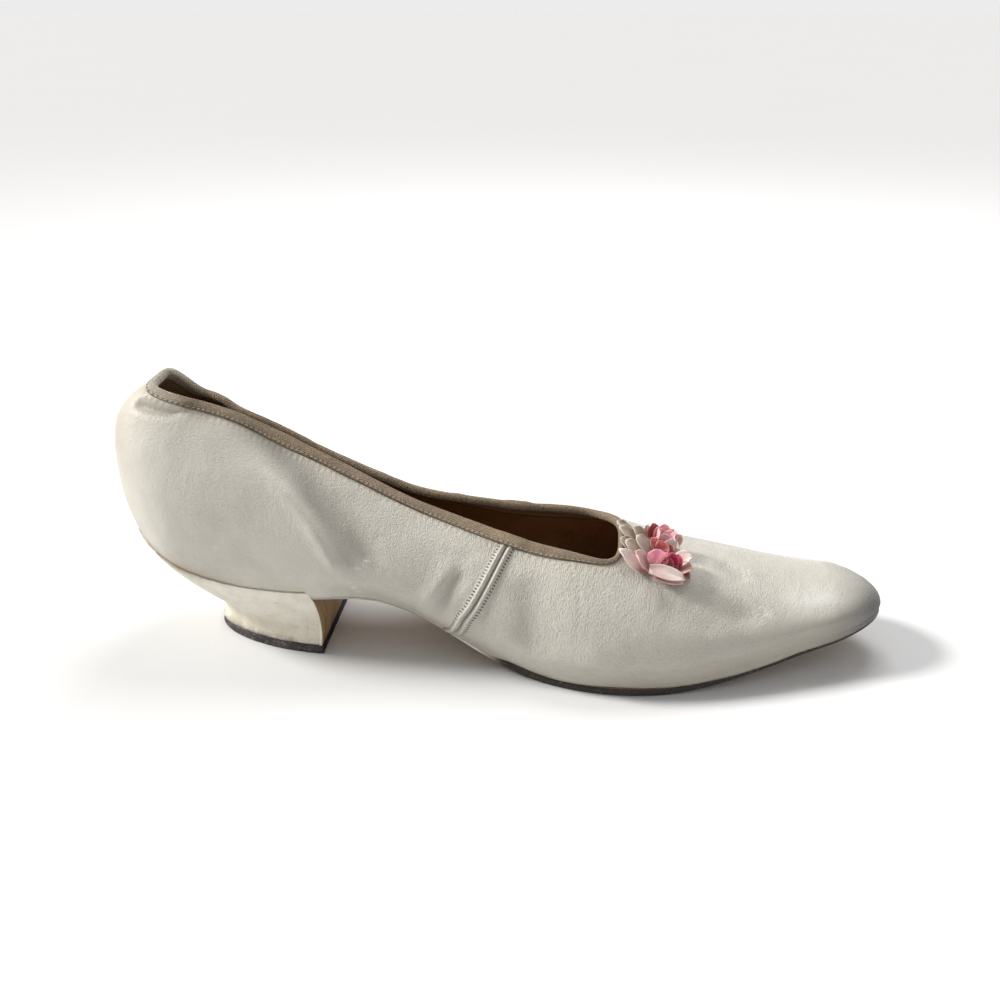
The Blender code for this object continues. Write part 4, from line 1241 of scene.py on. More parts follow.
def upper_wear_and_painted_light(at, climb, low, hem, relief, open_edge):
    """How soiled and greyed the kid is, with painted shade in its folds, and where a highlight is painted
    on its toe. low and hem are its girths to the sole and to the tape.
    """
    folds = np.clip(-relief / FOLD_DEPTH, 0, 1)
    toe = ease((at - 0.87) / 0.12)
    soil = (0.16 * np.exp(-low / 0.0016) + 0.12 * np.exp(-low / 0.008)) * (1 - waist_share(at))
    soil += 0.7 * np.exp(-low / 0.0022) * (1 - ease((at - 0.06) / 0.16))
    soil += 0.10 * np.exp(-low / 0.010) * ease((at - 0.25) / 0.2)
    soil += 0.45 * np.exp(-hem / 0.0050) * open_edge
    # Painted shade in the folds, in the yellow dirt's colour
    soil += 0.14 * folds
    soil += 0.20 * ease((0.06 - at) / 0.06)
    grime = 0.78 * toe * np.exp(-low / 0.012) + 0.14 * toe + 0.35 * ease((at - 0.955) / 0.04)
    grime += 0.25 * bell(at - 0.97, 0.02) * bell(climb - 0.5, 0.25)
    # More painted shade in the folds, in the grey
    grime += 0.46 * folds
    # A greyer patch just ahead of the side seams
    grime += 0.12 * bell(at - 0.545, 0.04) * bell(climb - 0.55, 0.22)
    # A highlight painted on the toe's top
    shine = bell(at - 0.905, 0.034) * bell(climb - 0.66, 0.13)
    return {"soil": soil, "grime": grime, "shine": shine}


def scratch_marks(u, w):
    """How strongly the scratches show at flat coordinates of the leather."""
    marks = np.zeros(u.shape)
    for mark in SCRATCHES:
        signed, share = path_distance(mark["path"], mark["side"], u, w)
        line = bell(signed, mark["width"] * MM) * ease(share / 0.1) * ease((1 - share) / 0.1)
        marks = np.maximum(marks, line * 0.8)
    return marks


def upper_side(lines, side, levels):
    """One side of the upper: points of its kid and its lining, their flat places and what finishes read."""
    at, climb = line_places(lines, side, levels)
    points, normals, relief = leather(at, side, climb)
    up = levels[None, :]
    seam = (at - SEAM_FOOT - (SEAM_TOP - SEAM_FOOT) * up) * LENGTH
    fade = ease(up / 0.03) * ease((1 - up) / 0.13)
    kid = points + normals * (seam_relief(seam) * fade)[..., None]

    # The skirt, drawn out and down over the sole's edge in the waist and at the toe
    drawn = np.interp(levels, SKIRT_LEVELS, SKIRT_SHARES)[None, :]
    skirt = waist_share(at) * drawn
    tip = toe_share(at) * drawn
    plan = normals * np.array([1.0, 1.0, 0.0])
    plan /= np.maximum(np.linalg.norm(plan, axis=-1, keepdims=True), LEAST_SIZE)
    kid += plan * (SKIRT_OUT * (skirt + tip) ** 0.3)[..., None]
    kid[..., 2] -= SKIRT_DROP * skirt + TOE_SKIRT_DROP * tip

    # What the finishes read
    u, w = surface_place(at, side, climb)
    girth = np.linalg.norm(np.diff(points, axis=1), axis=2)
    low = np.concatenate([np.zeros((len(lines), 1)), np.cumsum(girth, axis=1)], axis=1)
    hem = low[:, -1:] - low
    open_edge = (lines[:, 1:] < THROAT + 0.02) * 1.0
    marks = upper_wear_and_painted_light(at, climb, low, hem, relief, open_edge)
    marks["hem"] = hem + (1 - open_edge) * 0.05
    marks["run"] = np.broadcast_to(length_so_far(points[:, -1])[:, None], at.shape)
    marks["seam"] = seam
    marks["seam_run"] = low
    marks["scratch"] = scratch_marks(u, w)
    marks["back"] = 1 - ease((at - 0.15) / 0.27)
    return kid, points - normals * WALL, np.stack([u, w], -1), marks


def upper_faces(lines, count):
    """Faces of the kid, the lining and the edges between them, and which finish each one takes."""
    rows = len(lines)
    half = rows * count
    faces = []
    kinds = []
    for shell in (0, 1):
        for medial in (0, 1):
            start = (2 * shell + medial) * half
            for i in range(rows - 1):
                for j in range(count - 1):
                    a = start + i * count + j
                    quad = (a, a + count, a + count + 1, a + 1)
                    faces.append(quad[::-1] if medial != shell else quad)
                    kinds.append(shell)
    for medial in (0, 1):
        for top in (0, 1):
            for i in range(rows - 1):
                if top and lines[i + 1, 1] > THROAT + LEAST_STATION:
                    continue
                a = medial * half + i * count + top * (count - 1)
                b = a + 2 * half
                quad = (a, a + count, b + count, b)
                faces.append(quad[::-1] if medial == top else quad)
                kinds.append(0)
    return faces, kinds


def make_upper():
    """Vamp and quarters as one creased shell of kid outside and lining inside."""
    low_levels = np.linspace(0, LOW_SHARE, LOW_LEVELS + 1)[:-1]
    levels = np.concatenate([low_levels, np.linspace(LOW_SHARE, 1, HIGH_LEVELS + 1)])
    lines = fine_lines()
    kid, lining, places, marks = zip(*(upper_side(lines, side, levels) for side in (-1, 1)))
    points = np.concatenate([*kid, *lining]).reshape(-1, 3)
    faces, kinds = upper_faces(lines, len(levels))
    mesh = bpy.data.meshes.new("kid_upper")
    mesh.from_pydata([tuple(p) for p in points], [], faces)
    mesh.materials.append(kid_finish())
    mesh.materials.append(lining_finish())
    mesh.polygons.foreach_set("material_index", kinds)
    for name in marks[0]:
        values = np.concatenate([side[name].ravel() for side in marks])
        set_attribute(mesh, name, np.concatenate([values, values]))
    flat = np.concatenate(places).reshape(-1, 2)
    set_uv(mesh, "surface", np.concatenate([flat, flat]))
    weld(mesh, UPPER_WELD)
    return finish_piece(new_object("kid_upper", mesh), ["upper"])


def collar_places(count):
    """Stations and sides of the opening's edge all round, evenly spaced, and the length run so far."""
    tops = fine_lines()[:, 1]
    tops = tops[tops < THROAT]
    lateral = [(at, -1) for at in tops]
    medial = [(at, 1) for at in tops[:0:-1]]
    rough = [*lateral, (THROAT, -1), *medial]
    at = np.array([row[0] for row in rough])
    side = np.array([row[1] for row in rough])
    climb = climb_at(1.0, at, side)
    points = face(at, side, climb)
    steps = np.linalg.norm(np.roll(points, -1, axis=0) - points, axis=1)
    run = np.concatenate([[0], np.cumsum(steps)])
    total = run[-1]
    wanted = np.arange(count) * total / count
    # The two sides meet at the back and at the throat, so a signed station runs through both
    throat = len(lateral)
    signed = np.concatenate([at[: throat + 1] - THROAT, THROAT - at[throat + 1 :], [THROAT]])
    value = np.interp(wanted, run, signed)
    return THROAT - np.abs(value), np.where(value <= 0, -1, 1), wanted, total


TapeLines = namedtuple("TapeLines", "at edge edge_normal over bases lift run")


def tape_lines(count, shares):
    """The opening's edge, and the leather under the tape at shares of the tape's width down from it."""
    at, side, run, _ = collar_places(count)
    climb = climb_at(1.0, at, side)
    edge, edge_normal, _ = leather(at, side, climb)
    smooth_edge = face(at, side, climb)
    ahead = np.roll(smooth_edge, -1, axis=0) - np.roll(smooth_edge, 1, axis=0)
    over = unit(np.cross(edge_normal, ahead))
    wide = TAPE_OUTSIDE * by_side(side, TAPE_SHARE["lateral"](at), TAPE_SHARE["medial"](at))
    track = [(at, climb)]
    for _ in range(TAPE_STEPS):
        here_at, here_climb = track[-1]
        along, climbing = face_slopes(here_at, side, here_climb)
        a = np.sum(along * along, 1)
        b = np.sum(along * climbing, 1)
        c = np.sum(climbing * climbing, 1)
        move = -over * (wide / TAPE_STEPS)[:, None]
        p = np.sum(along * move, 1)
        q = np.sum(climbing * move, 1)
        spread = np.maximum(a * c - b * b, LEAST_SPREAD)
        next_at = np.clip(here_at + (p * c - q * b) / spread, 0, 1)
        next_climb = np.clip(here_climb + (q * a - p * b) / spread, 0, 1)
        track.append((next_at, next_climb))
    bases = []
    for down in shares:
        place = down * TAPE_STEPS
        i = min(int(place), TAPE_STEPS - 1)
        share = place - i
        one_at = track[i][0] * (1 - share) + track[i + 1][0] * share
        one_climb = track[i][1] * (1 - share) + track[i + 1][1] * share
        points, normals, _ = leather(one_at, side, one_climb)
        bases.append((points, normals))

    # The tape is lifted where it runs over the side seams
    lift = 0.00050 * ease((0.0062 - np.abs(at - SEAM_TOP) * LENGTH) / 0.0046)
    return TapeLines(at, edge, edge_normal, over, bases, lift, run)


def make_binding():
    """The tape folded over the opening's edge, woven and gently uneven, as one channel all round."""
    downs = [down for down, _ in TAPE_RINGS]
    tape = tape_lines(TAPE_COLUMNS, [*downs, *TAPE_INSIDE])
    wave = np.array([noise.noise(Vector((r * 260.0, 0.0, 4.0))) for r in tape.run])
    ripple = np.array([noise.noise(Vector((r * 90.0, 7.0, 1.0))) for r in tape.run])
    slide = tape.over * (0.00030 * ripple)[:, None]

    # Rings of the tape's section all round, and how far across its flat width each one lies
    rings = []
    across = []
    for (points, normals), (down, height) in zip(tape.bases, TAPE_RINGS):
        high = height + tape.lift + 0.00012 * wave
        rings.append(points + normals * high[:, None] + slide)
        across.append(down * TAPE_OUTSIDE)
    for k, (beyond, height) in enumerate(TAPE_FOLD):
        high = height + tape.lift * (height > 0)
        rings.append(tape.edge + tape.over * beyond + tape.edge_normal * high[:, None])
        across.append(-0.0006 - 0.0005 * k)
    for (points, normals), down in zip(tape.bases[len(TAPE_RINGS) :], TAPE_INSIDE):
        rings.append(points - normals * TAPE_DEPTH)
        across.append(-0.0032 - down * TAPE_OUTSIDE)
    last_points, last_normals = tape.bases[-1]
    rings.append(last_points - last_normals * TAPE_ROOT)
    rings.append(tape.edge - tape.edge_normal * TAPE_ROOT + tape.over * TAPE_BEYOND)
    rings.append(tape.edge + tape.edge_normal * TAPE_CLEAR + tape.over * TAPE_BEYOND)
    first_points, first_normals = tape.bases[0]
    rings.append(first_points + first_normals * TAPE_CLEAR)
    across += [-0.0068, -0.0070, -0.0072, 0.0039]

    levels = len(rings)
    points = np.stack(rings, 1).reshape(-1, 3)
    faces = []
    for i in range(TAPE_COLUMNS):
        j = (i + 1) % TAPE_COLUMNS
        for k in range(levels):
            m = (k + 1) % levels
            faces.append((i * levels + k, j * levels + k, j * levels + m, i * levels + m))
    mesh = mesh_from("binding_tape", points, faces)
    point_outwards(mesh)
    uv = np.stack(np.broadcast_arrays(tape.run[:, None], np.array(across)[None, :]), -1).reshape(-1, 2)
    set_uv(mesh, "tape", uv)
    set_attribute(mesh, "back", np.repeat(1 - ease(tape.at / 0.09), levels))
    mesh.materials.append(tape_finish())
    return finish_piece(new_object("binding_tape", mesh), ["binding"])


def stitch_tree():
    """Geometry Nodes that lay a rounded stitch on each point, along its tangent and out of its normal."""
    tree = bpy.data.node_groups.new("lay_stitches", "GeometryNodeTree")
    for name, kind in (
        ("Geometry", "NodeSocketGeometry"),
        ("Stitch Length", "NodeSocketFloat"),
        ("Thread Thickness", "NodeSocketFloat"),
        ("Thread", "NodeSocketMaterial"),
    ):
        tree.interface.new_socket(name, in_out="INPUT", socket_type=kind)
    tree.interface.new_socket("Geometry", in_out="OUTPUT", socket_type="NodeSocketGeometry")

    def node(kind, inputs=None, **settings):
        return add_node(tree, kind, settings, inputs).outputs

    def stored(name):
        return node("GeometryNodeInputNamedAttribute", {"Name": name}, data_type="FLOAT_VECTOR")[0]

    given = node("NodeGroupInput")
    bead = node("GeometryNodeMeshUVSphere", {"Segments": 8, "Rings": 6, "Radius": 0.5})["Mesh"]
    size = node("ShaderNodeCombineXYZ", {0: given[1], 1: given[2], 2: given[2]})[0]
    shaped = node("GeometryNodeTransform", {"Geometry": bead, "Scale": size})[0]
    smooth = node("GeometryNodeSetShadeSmooth", {"Geometry": shaped})[0]
    axes = {0: stored("along"), 1: stored("outward")}
    turn = node("FunctionNodeAxesToRotation", axes, primary_axis="X", secondary_axis="Z")[0]
    points = node("GeometryNodeMeshToPoints", {"Mesh": given[0]})[0]
    laying = {"Points": points, "Instance": smooth, "Rotation": turn}
    laid = node("GeometryNodeInstanceOnPoints", laying)[0]
    real = node("GeometryNodeRealizeInstances", {"Geometry": laid})[0]
    dyed = node("GeometryNodeSetMaterial", {"Geometry": real, "Material": given[3]})[0]
    node("NodeGroupOutput", {0: dyed})
    return tree


def lay_stitches(name, points, along, outward, length, thread, slot):
    """Lays stitches at points with Geometry Nodes and turns them into a plain mesh."""
    trim = bpy.context.scene.pump_trim
    seeds = bpy.data.meshes.new(name + "_points")
    seeds.from_pydata([tuple(p) for p in points], [], [])
    for key, values in (("along", along), ("outward", outward)):
        stored = seeds.attributes.new(key, "FLOAT_VECTOR", "POINT")
        stored.data.foreach_set("vector", np.asarray(values, np.float32).ravel())
    carrier = new_object(name + "_path", seeds)
    modifier = carrier.modifiers.new("stitches", "NODES")
    modifier.node_group = bpy.data.node_groups.get("lay_stitches") or stitch_tree()
    named = {item.name: item.identifier for item in modifier.node_group.interface.items_tree}
    modifier[named["Stitch Length"]] = float(length)
    modifier[named["Thread Thickness"]] = float(trim.stitch_thickness)
    modifier[named["Thread"]] = thread
    graph = bpy.context.evaluated_depsgraph_get()
    mesh = bpy.data.meshes.new_from_object(carrier.evaluated_get(graph))
    bpy.data.objects.remove(carrier)
    mesh.name = name
    return finish_piece(new_object(name, mesh), [])


def make_tape_stitches():
    """One row of stitches along the tape's lower edge."""
    trim = bpy.context.scene.pump_trim
    total = collar_places(40)[3]
    count = int(total / trim.stitch_pitch)
    tape = tape_lines(count, [TAPE_ROW])
    points, normals = tape.bases[0]
    along = unit(np.roll(points, -1, axis=0) - np.roll(points, 1, axis=0))
    placed = points + normals * (TAPE_STITCH_HEIGHT + tape.lift)[:, None]
    thread = thread_finish("tape_thread", trim.thread)
    return lay_stitches("tape_stitches", placed, along, normals, trim.stitch_length, thread, "woven_tape")


def make_seam_stitches():
    """Two rows of stitches beside the welts of each side seam."""
    trim = bpy.context.scene.pump_trim
    points = []
    along = []
    outward = []
    levels = np.linspace(0.03, 0.93, 400)
    for side in (-1, 1):
        for shift in (-SEAM_ROW, SEAM_ROW):
            at = SEAM_FOOT + (SEAM_TOP - SEAM_FOOT) * levels + shift / LENGTH
            line, normals, _ = leather(at, side, climb_at(levels, SEAM_TOP, side))
            run = length_so_far(line)
            wanted = np.arange(0.0004, run[-1], SEAM_PITCH)
            index = np.searchsorted(run, wanted).clip(1, len(run) - 2)
            direction = unit(line[index + 1] - line[index - 1])
            slant = np.cross(normals[index], direction) * SEAM_STITCH_SLANT * math.copysign(1.0, shift)
            height = seam_relief(np.array(shift)) + SEAM_STITCH_HEIGHT
            points.append(line[index] + normals[index] * height)
            along.append(unit(direction + slant))
            outward.append(normals[index])
    stacked = [np.concatenate(part) for part in (points, along, outward)]
    thread = thread_finish("seam_thread", shaded(bpy.context.scene.pump_leather.kid, 0.95))
    length = trim.stitch_length * SEAM_STITCH_SHARE
    return lay_stitches("seam_stitches", *stacked, length, thread, "white_kid")


def feather_outline(stations, offset):
    """The feather edge in plan, moved outwards: lateral side, an end, and back along the medial side."""
    stations = np.array(stations)
    lateral = face(stations, -1, 0.0)[:, :2]
    medial = face(stations[-2::-1], 1, 0.0)[:, :2]
    ring = np.concatenate([lateral, medial])
    run = np.gradient(ring, axis=0)
    run[len(stations) - 1, 0] = 0
    run[0, 0] *= min(float(stations[0]), 1.0) > 0
    towards = 1 if stations[-1] > stations[0] else -1
    normal = np.stack([run[:, 1], -run[:, 0]], 1) * towards
    return ring + offset * unit(normal)


def there_and_back(values):
    """Values for the lateral side, from an open front to an end, followed by those for the medial side."""
    values = list(values)
    return np.array([*values, *values[-2::-1]])


def loft_mesh(name, rings, end):
    """A closed mesh through rings of points, its ends closed by rungs or by a fan from a point."""
    count = len(rings[0])
    points = np.concatenate(rings)
    faces = []
    for r in range(len(rings) - 1):
        for i in range(count):
            j = (i + 1) % count
            faces.append((r * count + i, r * count + j, (r + 1) * count + j, (r + 1) * count + i))
    first = -1 if end == "rungs" else 0
    for start in (0, (len(rings) - 1) * count):
        for i in range(count // 2):
            corners = (i, i + 1, (first - i - 1) % count, (first - i) % count)
            corners = list(dict.fromkeys(start + c for c in corners))
            if len(corners) > 2:
                faces.append(corners)
    mesh = mesh_from(name, points, faces)
    point_outwards(mesh)
    return mesh


def toe_stations(count):
    """Stations round the toe, closer towards its tip."""
    return [1 - TOE_ROUND + TOE_ROUND * math.sin(QUARTER_TURN * i / count) for i in range(count + 1)]


def sole_stations():
    """Stations of the sole, from its waist at the heel's breast to the toe's tip."""
    middle = np.linspace(SOLE_START, 1 - TOE_ROUND, SOLE_LINES)
    return np.concatenate([middle, toe_stations(SOLE_TOE_LINES)[1:]])


def make_outsole():
    """The sole from the toe over the waist, and its flap down the front of the heel."""
    stations = sole_stations()
    heights = feather_height(stations)
    slope = np.gradient(heights, LENGTH * stations)
    slope[heights < SOLE + GAP] = 0
    full = SOLE - GAP
    waist = (WAIST_SOLE - full) * (1 - ease((stations - SOLE_START) / (WAIST_END - SOLE_START)))
    toe = (TOE_SOLE - full) * ease((stations - TREAD_END) / (1 - TREAD_END))
    thick = full + waist + toe
    steep = np.hypot(slope, 1)
    shares = np.linspace(0, 1, FLAP_ROWS + 1)[:-1]
    rings = []
    for down, out in SOLE_PROFILE:
        forward = there_and_back(slope / steep * thick * down)
        under = there_and_back(heights - GAP * 0.3 - (thick + GAP * 0.7) * down / steep)
        plan = feather_outline(stations, out * SOLE_LIP)
        sole = np.stack([plan[:, 0] + forward, plan[:, 1], under], 1)
        sides = []
        for corner, side in ((sole[0], -1), (sole[-1], 1)):
            half = LIFT_WIDTH / 2 - LIFT_LIP - (1 - out) * SOLE_LIP
            foot_x = LIFT_FRONT - LIFT_LIP - FLAP * (1 - down) + SHIFT[0]
            foot = np.array([foot_x, LIFT_CENTRE + side * half + SHIFT[1], LIFT + GAP * 0.2])
            head = np.array([LIFT_FRONT - BREAST_LEAN - FLAP * (1 - down) + SHIFT[0], corner[1], corner[2]])
            bow = np.array([BREAST_BOW, 0.0, 0.0])
            sides.append([foot + (head - foot) * s + bow * 4 * s * (1 - s) * (s > 0) for s in shares])
        rings.append(np.concatenate([sides[0], sole, sides[1][::-1]]))
    mesh = loft_mesh("leather_sole", rings, "rungs")
    points = np.empty((len(mesh.vertices), 3), np.float32)
    mesh.vertices.foreach_get("co", points.ravel())
    count = len(rings[0])
    level = np.repeat(np.arange(len(rings)), count)
    index = np.tile(np.arange(count), len(rings))
    x = points[:, 0] - SHIFT[0]
    on_flap = (index < len(shares)) | (index >= count - len(shares))
    rim = (level > 0) & (level < len(rings) - 1)
    front = level >= len(rings) - 2
    set_attribute(mesh, "edge", np.where(on_flap, 1.0 - front, rim * 1.0))
    set_attribute(mesh, "fore", ease((x / LENGTH - 0.475) / 0.05) * (1 - on_flap))
    set_attribute(mesh, "flap", on_flap * 1.0)
    set_attribute(mesh, "tread", ease((x / LENGTH - 0.50) / 0.12) * (level == len(rings) - 1))
    mesh.materials.append(sole_finish())
    return finish_piece(new_object("leather_sole", mesh), ["outsole"])


def heel_shares(columns):
    """Shares of the heel's length from its front, 1, to its back, 0, closer towards the back."""
    shares = [math.cos(QUARTER_TURN * i / columns) for i in range(columns)]
    return np.array([*shares, 0.0])


def lift_outline(inset, shares):
    """The lift in plan: from its lateral front corner round the back to the medial one."""
    half = LIFT_WIDTH / 2 - inset
    length = LIFT_LENGTH - 2 * inset
    x = LIFT_FRONT - inset - length * (1 - shares)
    y = half * round_end(shares, LIFT_SQUARE)
    lateral = np.stack([x, LIFT_CENTRE - y], 1)
    medial = np.stack([x, LIFT_CENTRE + y], 1)
    return np.concatenate([lateral, medial[-2::-1]]) + SHIFT[:2]


def make_heel():
    """The curved heel under its kid cover, slack and creased under the seat."""
    shares = heel_shares(HEEL_COLUMNS)
    front_foot = LIFT_FRONT - LIFT_LIP - FLAP - GAP * 0.3
    front_head = LIFT_FRONT - BREAST_LEAN - FLAP - GAP * 0.3
    stations = shares * front_head / LENGTH
    seat = feather_outline(stations, SEAT_LIP)
    lift = lift_outline(LIFT_LIP, shares)
    tops = there_and_back(feather_height(stations) - GAP * 0.2)
    foot = LIFT + GAP * 0.2
    middle = LIFT_CENTRE + SHIFT[1]
    rings = []
    downs = []
    for down in np.linspace(0, 1, HEEL_ROWS + 1):
        inward = HEEL["inward"](down)
        slim = 1 - HEEL["pinch"](down)
        bow = BREAST_BOW * 4 * down * (1 - down)
        front = front_head + (front_foot - front_head) * down + SHIFT[0] + bow
        seat_back = seat[0, 0] - seat[:, 0]
        lift_back = lift[0, 0] - lift[:, 0]
        y = seat[:, 1] + (lift[:, 1] - seat[:, 1]) * inward
        x = front - seat_back - (lift_back - seat_back) * inward
        z = tops + (foot - tops) * down
        ring = np.stack([x, middle + (y - middle) * slim, z], 1)
        outward = unit(ring[:, :2] - np.array([x[0] - 0.010, middle]))
        wave = np.array([noise.noise(Vector((p[0] * 60, p[1] * 60, p[2] * 420))) for p in ring])
        pushed = HEEL_SLACK * wave * (ease(down / HEEL_FADE) * ease((1 - down) / HEEL_FADE))
        pushed[[0, -1]] = 0
        ring[:, :2] += outward * pushed[:, None]
        rings.append(ring)
        downs.append(np.full(len(ring), down))
    mesh = loft_mesh("heel_cover", rings, "rungs")
    set_attribute(mesh, "down", np.concatenate(downs))
    mesh.materials.append(heel_finish())
    return finish_piece(new_object("heel_cover", mesh), ["heel"])


def make_lift():
    """The top lift, its edge worn uneven."""
    shares = heel_shares(LIFT_COLUMNS)
    centre = np.array([LIFT_FRONT - LIFT_LENGTH * 0.45 + SHIFT[0], LIFT_CENTRE + SHIFT[1]])
    rings = []
    for up, inset in LIFT_PROFILE:
        plan = lift_outline(LIFT_LIP * inset * LIFT_ROUND, shares)
        worn = np.array([noise.noise(Vector((p[0] * 420, p[1] * 420, up * 2.5))) for p in plan])
        plan = plan - unit(plan - centre) * (LIFT_WEAR * (1 + worn))[:, None]
        z = np.full(len(plan), LIFT * up)
        rings.append(np.column_stack([plan, z]))
    mesh = loft_mesh("top_lift", rings, "rungs")
    mesh.materials.append(lift_finish())
    return finish_piece(new_object("top_lift", mesh), ["heel_lift"])


def make_insole():
    """The insole with its sock: a thin board, gently hollow under heel and ball."""
    lines = SOCK_HEEL_LINES
    back = [HEEL_ROUND * (1 - math.cos(QUARTER_TURN * i / lines)) for i in range(lines)]
    middle = np.linspace(HEEL_ROUND, 1 - TOE_ROUND, SOCK_LINES)[:-1]
    stations = np.array([*back, *middle, *toe_stations(SOCK_TOE_LINES)])
    inset = WALL + GAP + INSOLE_MARGIN
    plan = feather_outline(stations, -inset)
    lateral = plan[: len(stations)]
    medial = np.concatenate([plan[len(stations) :], plan[:1]])[::-1]
    heights = feather_height(stations)
    columns = SOCK_COLUMNS
    rows = len(stations)
    points = []
    for over in (GAP * 0.3, INSOLE):
        for i in range(rows):
            for k in range(columns):
                share = k / (columns - 1)
                flat = lateral[i] + (medial[i] - lateral[i]) * share
                dish = SOCK_HOLLOW * 4 * share * (1 - share) if over > GAP else 0.0
                points.append((flat[0], flat[1], heights[i] + over - dish))
    half = rows * columns
    faces = []
    for i in range(rows - 1):
        for k in range(columns - 1):
            a = i * columns + k
            faces.append((a, a + columns, a + columns + 1, a + 1))
            faces.append((half + a, half + a + 1, half + a + columns + 1, half + a + columns))
        for k in (0, columns - 1):
            a = i * columns + k
            faces.append((a, a + columns, half + a + columns, half + a))
    for i in (0, rows - 1):
        for k in range(columns - 1):
            a = i * columns + k
            faces.append((a, a + 1, half + a + 1, half + a))
    mesh = bpy.data.meshes.new("sock")
    mesh.from_pydata(points, [], faces)
    weld(mesh, SOCK_WELD, outwards=True)
    mesh.materials.append(sock_finish())
    return finish_piece(new_object("sock", mesh), ["insole"])


def petal_points(row, base, toe, crest, normal, seed):
    """Points of one petal's sheet, and how deep in the rose and how near its edge each one is; the depth
    sets the shade painted towards the petal's root.
    """
    turn = math.radians(row.around)
    out = toe * math.cos(turn) + crest * math.sin(turn)
    base = base + normal * row.raised * MM
    side = np.cross(normal, out)
    length = row.length * MM
    half = row.width * 0.0005
    columns = PETAL_COLUMNS
    levels = PETAL_LEVELS
    points = []
    deep = []
    frayed = []
    spine = base
    step = length / (levels - 1)
    rise = math.radians(row.rise)
    curl = math.radians(row.curl)
    for j in range(levels):
        v = j / (levels - 1)
        lean = rise - curl * v * v * 2.0
        axis = out * math.cos(lean) + normal * math.sin(lean)
        inward = -out * math.sin(lean) + normal * math.cos(lean)
        if j:
            spine = spine + axis * step
        wide = half * (math.sin(math.pi * (0.16 + 0.70 * v)) ** 0.6)
        for i in range(columns):
            u = 2 * i / (columns - 1) - 1
            tip = -0.16 * length * u * u * v * v
            ruffle = 0.00050 * noise.noise(Vector((u * 1.9 + seed, v * 2.1, seed * 1.7))) * (0.3 + v)
            point = spine + side * wide * u + inward * (row.cup * half * 2 * u * u + ruffle) + axis * tip
            points.append(point)
            # Painted shade, strongest at the petal's root
            deep.append(0.85 * (1 - v) ** 1.6)
            frayed.append(max(abs(u), v) ** 12)
    faces = []
    for j in range(levels - 1):
        for i in range(columns - 1):
            a = j * columns + i
            faces.append((a, a + 1, a + columns + 1, a + columns))
    return points, faces, deep, frayed


def make_rose(name, rose, nodes):
    """A gathered cloth rose: cupped petals, each in its own dye."""
    points = []
    faces = []
    deep = []
    frayed = []
    tints = []
    for seed, row in enumerate(PETALS):
        if row.rose != rose:
            continue
        at = np.array([row.at])
        climb = np.array([row.climb])
        base, normal, _ = leather(at, -1, climb)
        crest = unit(face_slopes(at, np.array([-1.0]), climb)[1][0])
        normal = normal[0]
        toe = np.cross(crest, normal)
        sheet, cells, low, edge = petal_points(row, base[0], toe, crest, normal, seed * 3.1)
        start = len(points)
        points += sheet
        faces += [tuple(start + i for i in cell) for cell in cells]
        deep += low
        frayed += edge
        tints += [(*TINTS[row.tint], 1.0)] * len(sheet)
    mesh = mesh_from(name, points, faces)
    set_attribute(mesh, "deep", deep)
    set_attribute(mesh, "frayed", frayed)
    stored = mesh.attributes.new("tint", "FLOAT_COLOR", "POINT")
    stored.data.foreach_set("color", np.array(tints, np.float32).ravel())
    mesh.materials.append(rose_finish())
    made = new_object(name, mesh)
    cloth = made.modifiers.new("cloth", "SOLIDIFY")
    cloth.thickness = bpy.context.scene.pump_trim.petal_thickness
    cloth.offset = 0
    return finish_piece(made, nodes)


def make_stage():
    """Floor, soft light all round, a soft sun from the heel's side, a window behind and the camera."""
    looks = bpy.context.scene.pump_stage
    scene = bpy.context.scene
    reach = FLOOR_REACH
    corners = [(-reach, -reach, 0), (reach, -reach, 0), (reach, reach, 0), (-reach, reach, 0)]
    mesh = bpy.data.meshes.new("paper_floor")
    mesh.from_pydata(corners, [], [(0, 1, 2, 3)])
    mesh.materials.append(floor_finish())
    new_object("paper_floor", mesh)

    # Soft light all round, as bright at the horizon as the floor
    world = bpy.data.worlds.new("soft_light")
    scene.world = world
    world.use_nodes = True
    tree = world.node_tree
    way = add_node(tree, "ShaderNodeTexCoord").outputs["Generated"]
    height = add_node(tree, "ShaderNodeSeparateXYZ", inputs={0: way}).outputs["Z"]
    band = {"Value": height, "From Min": HORIZON_BAND[0], "From Max": HORIZON_BAND[1]}
    band.update({"To Min": looks.horizon, "To Max": looks.sky})
    strength = add_node(tree, "ShaderNodeMapRange", inputs=band).outputs[0]
    sky = tree.nodes["Background"]
    sky.inputs["Color"].default_value = (1.0, 1.0, 1.0, 1.0)
    tree.links.new(strength, sky.inputs["Strength"])

    # Sun and window
    sun = bpy.data.lights.new("sun", "SUN")
    sun.energy = looks.sun
    sun.angle = math.radians(SUN_SPREAD)
    sun.color = SUN_COLOUR
    window = bpy.data.lights.new("window", "AREA")
    window.energy = looks.window
    window.size = WINDOW_SIZE
    for lamp, place in ((sun, SUN_PLACE), (window, WINDOW_PLACE)):
        made = new_object(lamp.name, lamp)
        made.location = place
        made.rotation_euler = (Vector(LAMP_AIM) - Vector(place)).to_track_quat("-Z", "Y").to_euler()

    # Camera
    camera = bpy.data.cameras.new("camera")
    camera.lens = CAMERA_LENS
    camera.sensor_width = CAMERA_SENSOR
    camera.clip_start = CAMERA_NEAR
    eye = new_object("camera", camera)
    eye.location = Vector(CAMERA_PLACE) + Vector(SHIFT)
    eye.rotation_euler = [math.radians(turn) for turn in CAMERA_TURN]
    scene.camera = eye
    scene.view_settings.view_transform = "Standard"


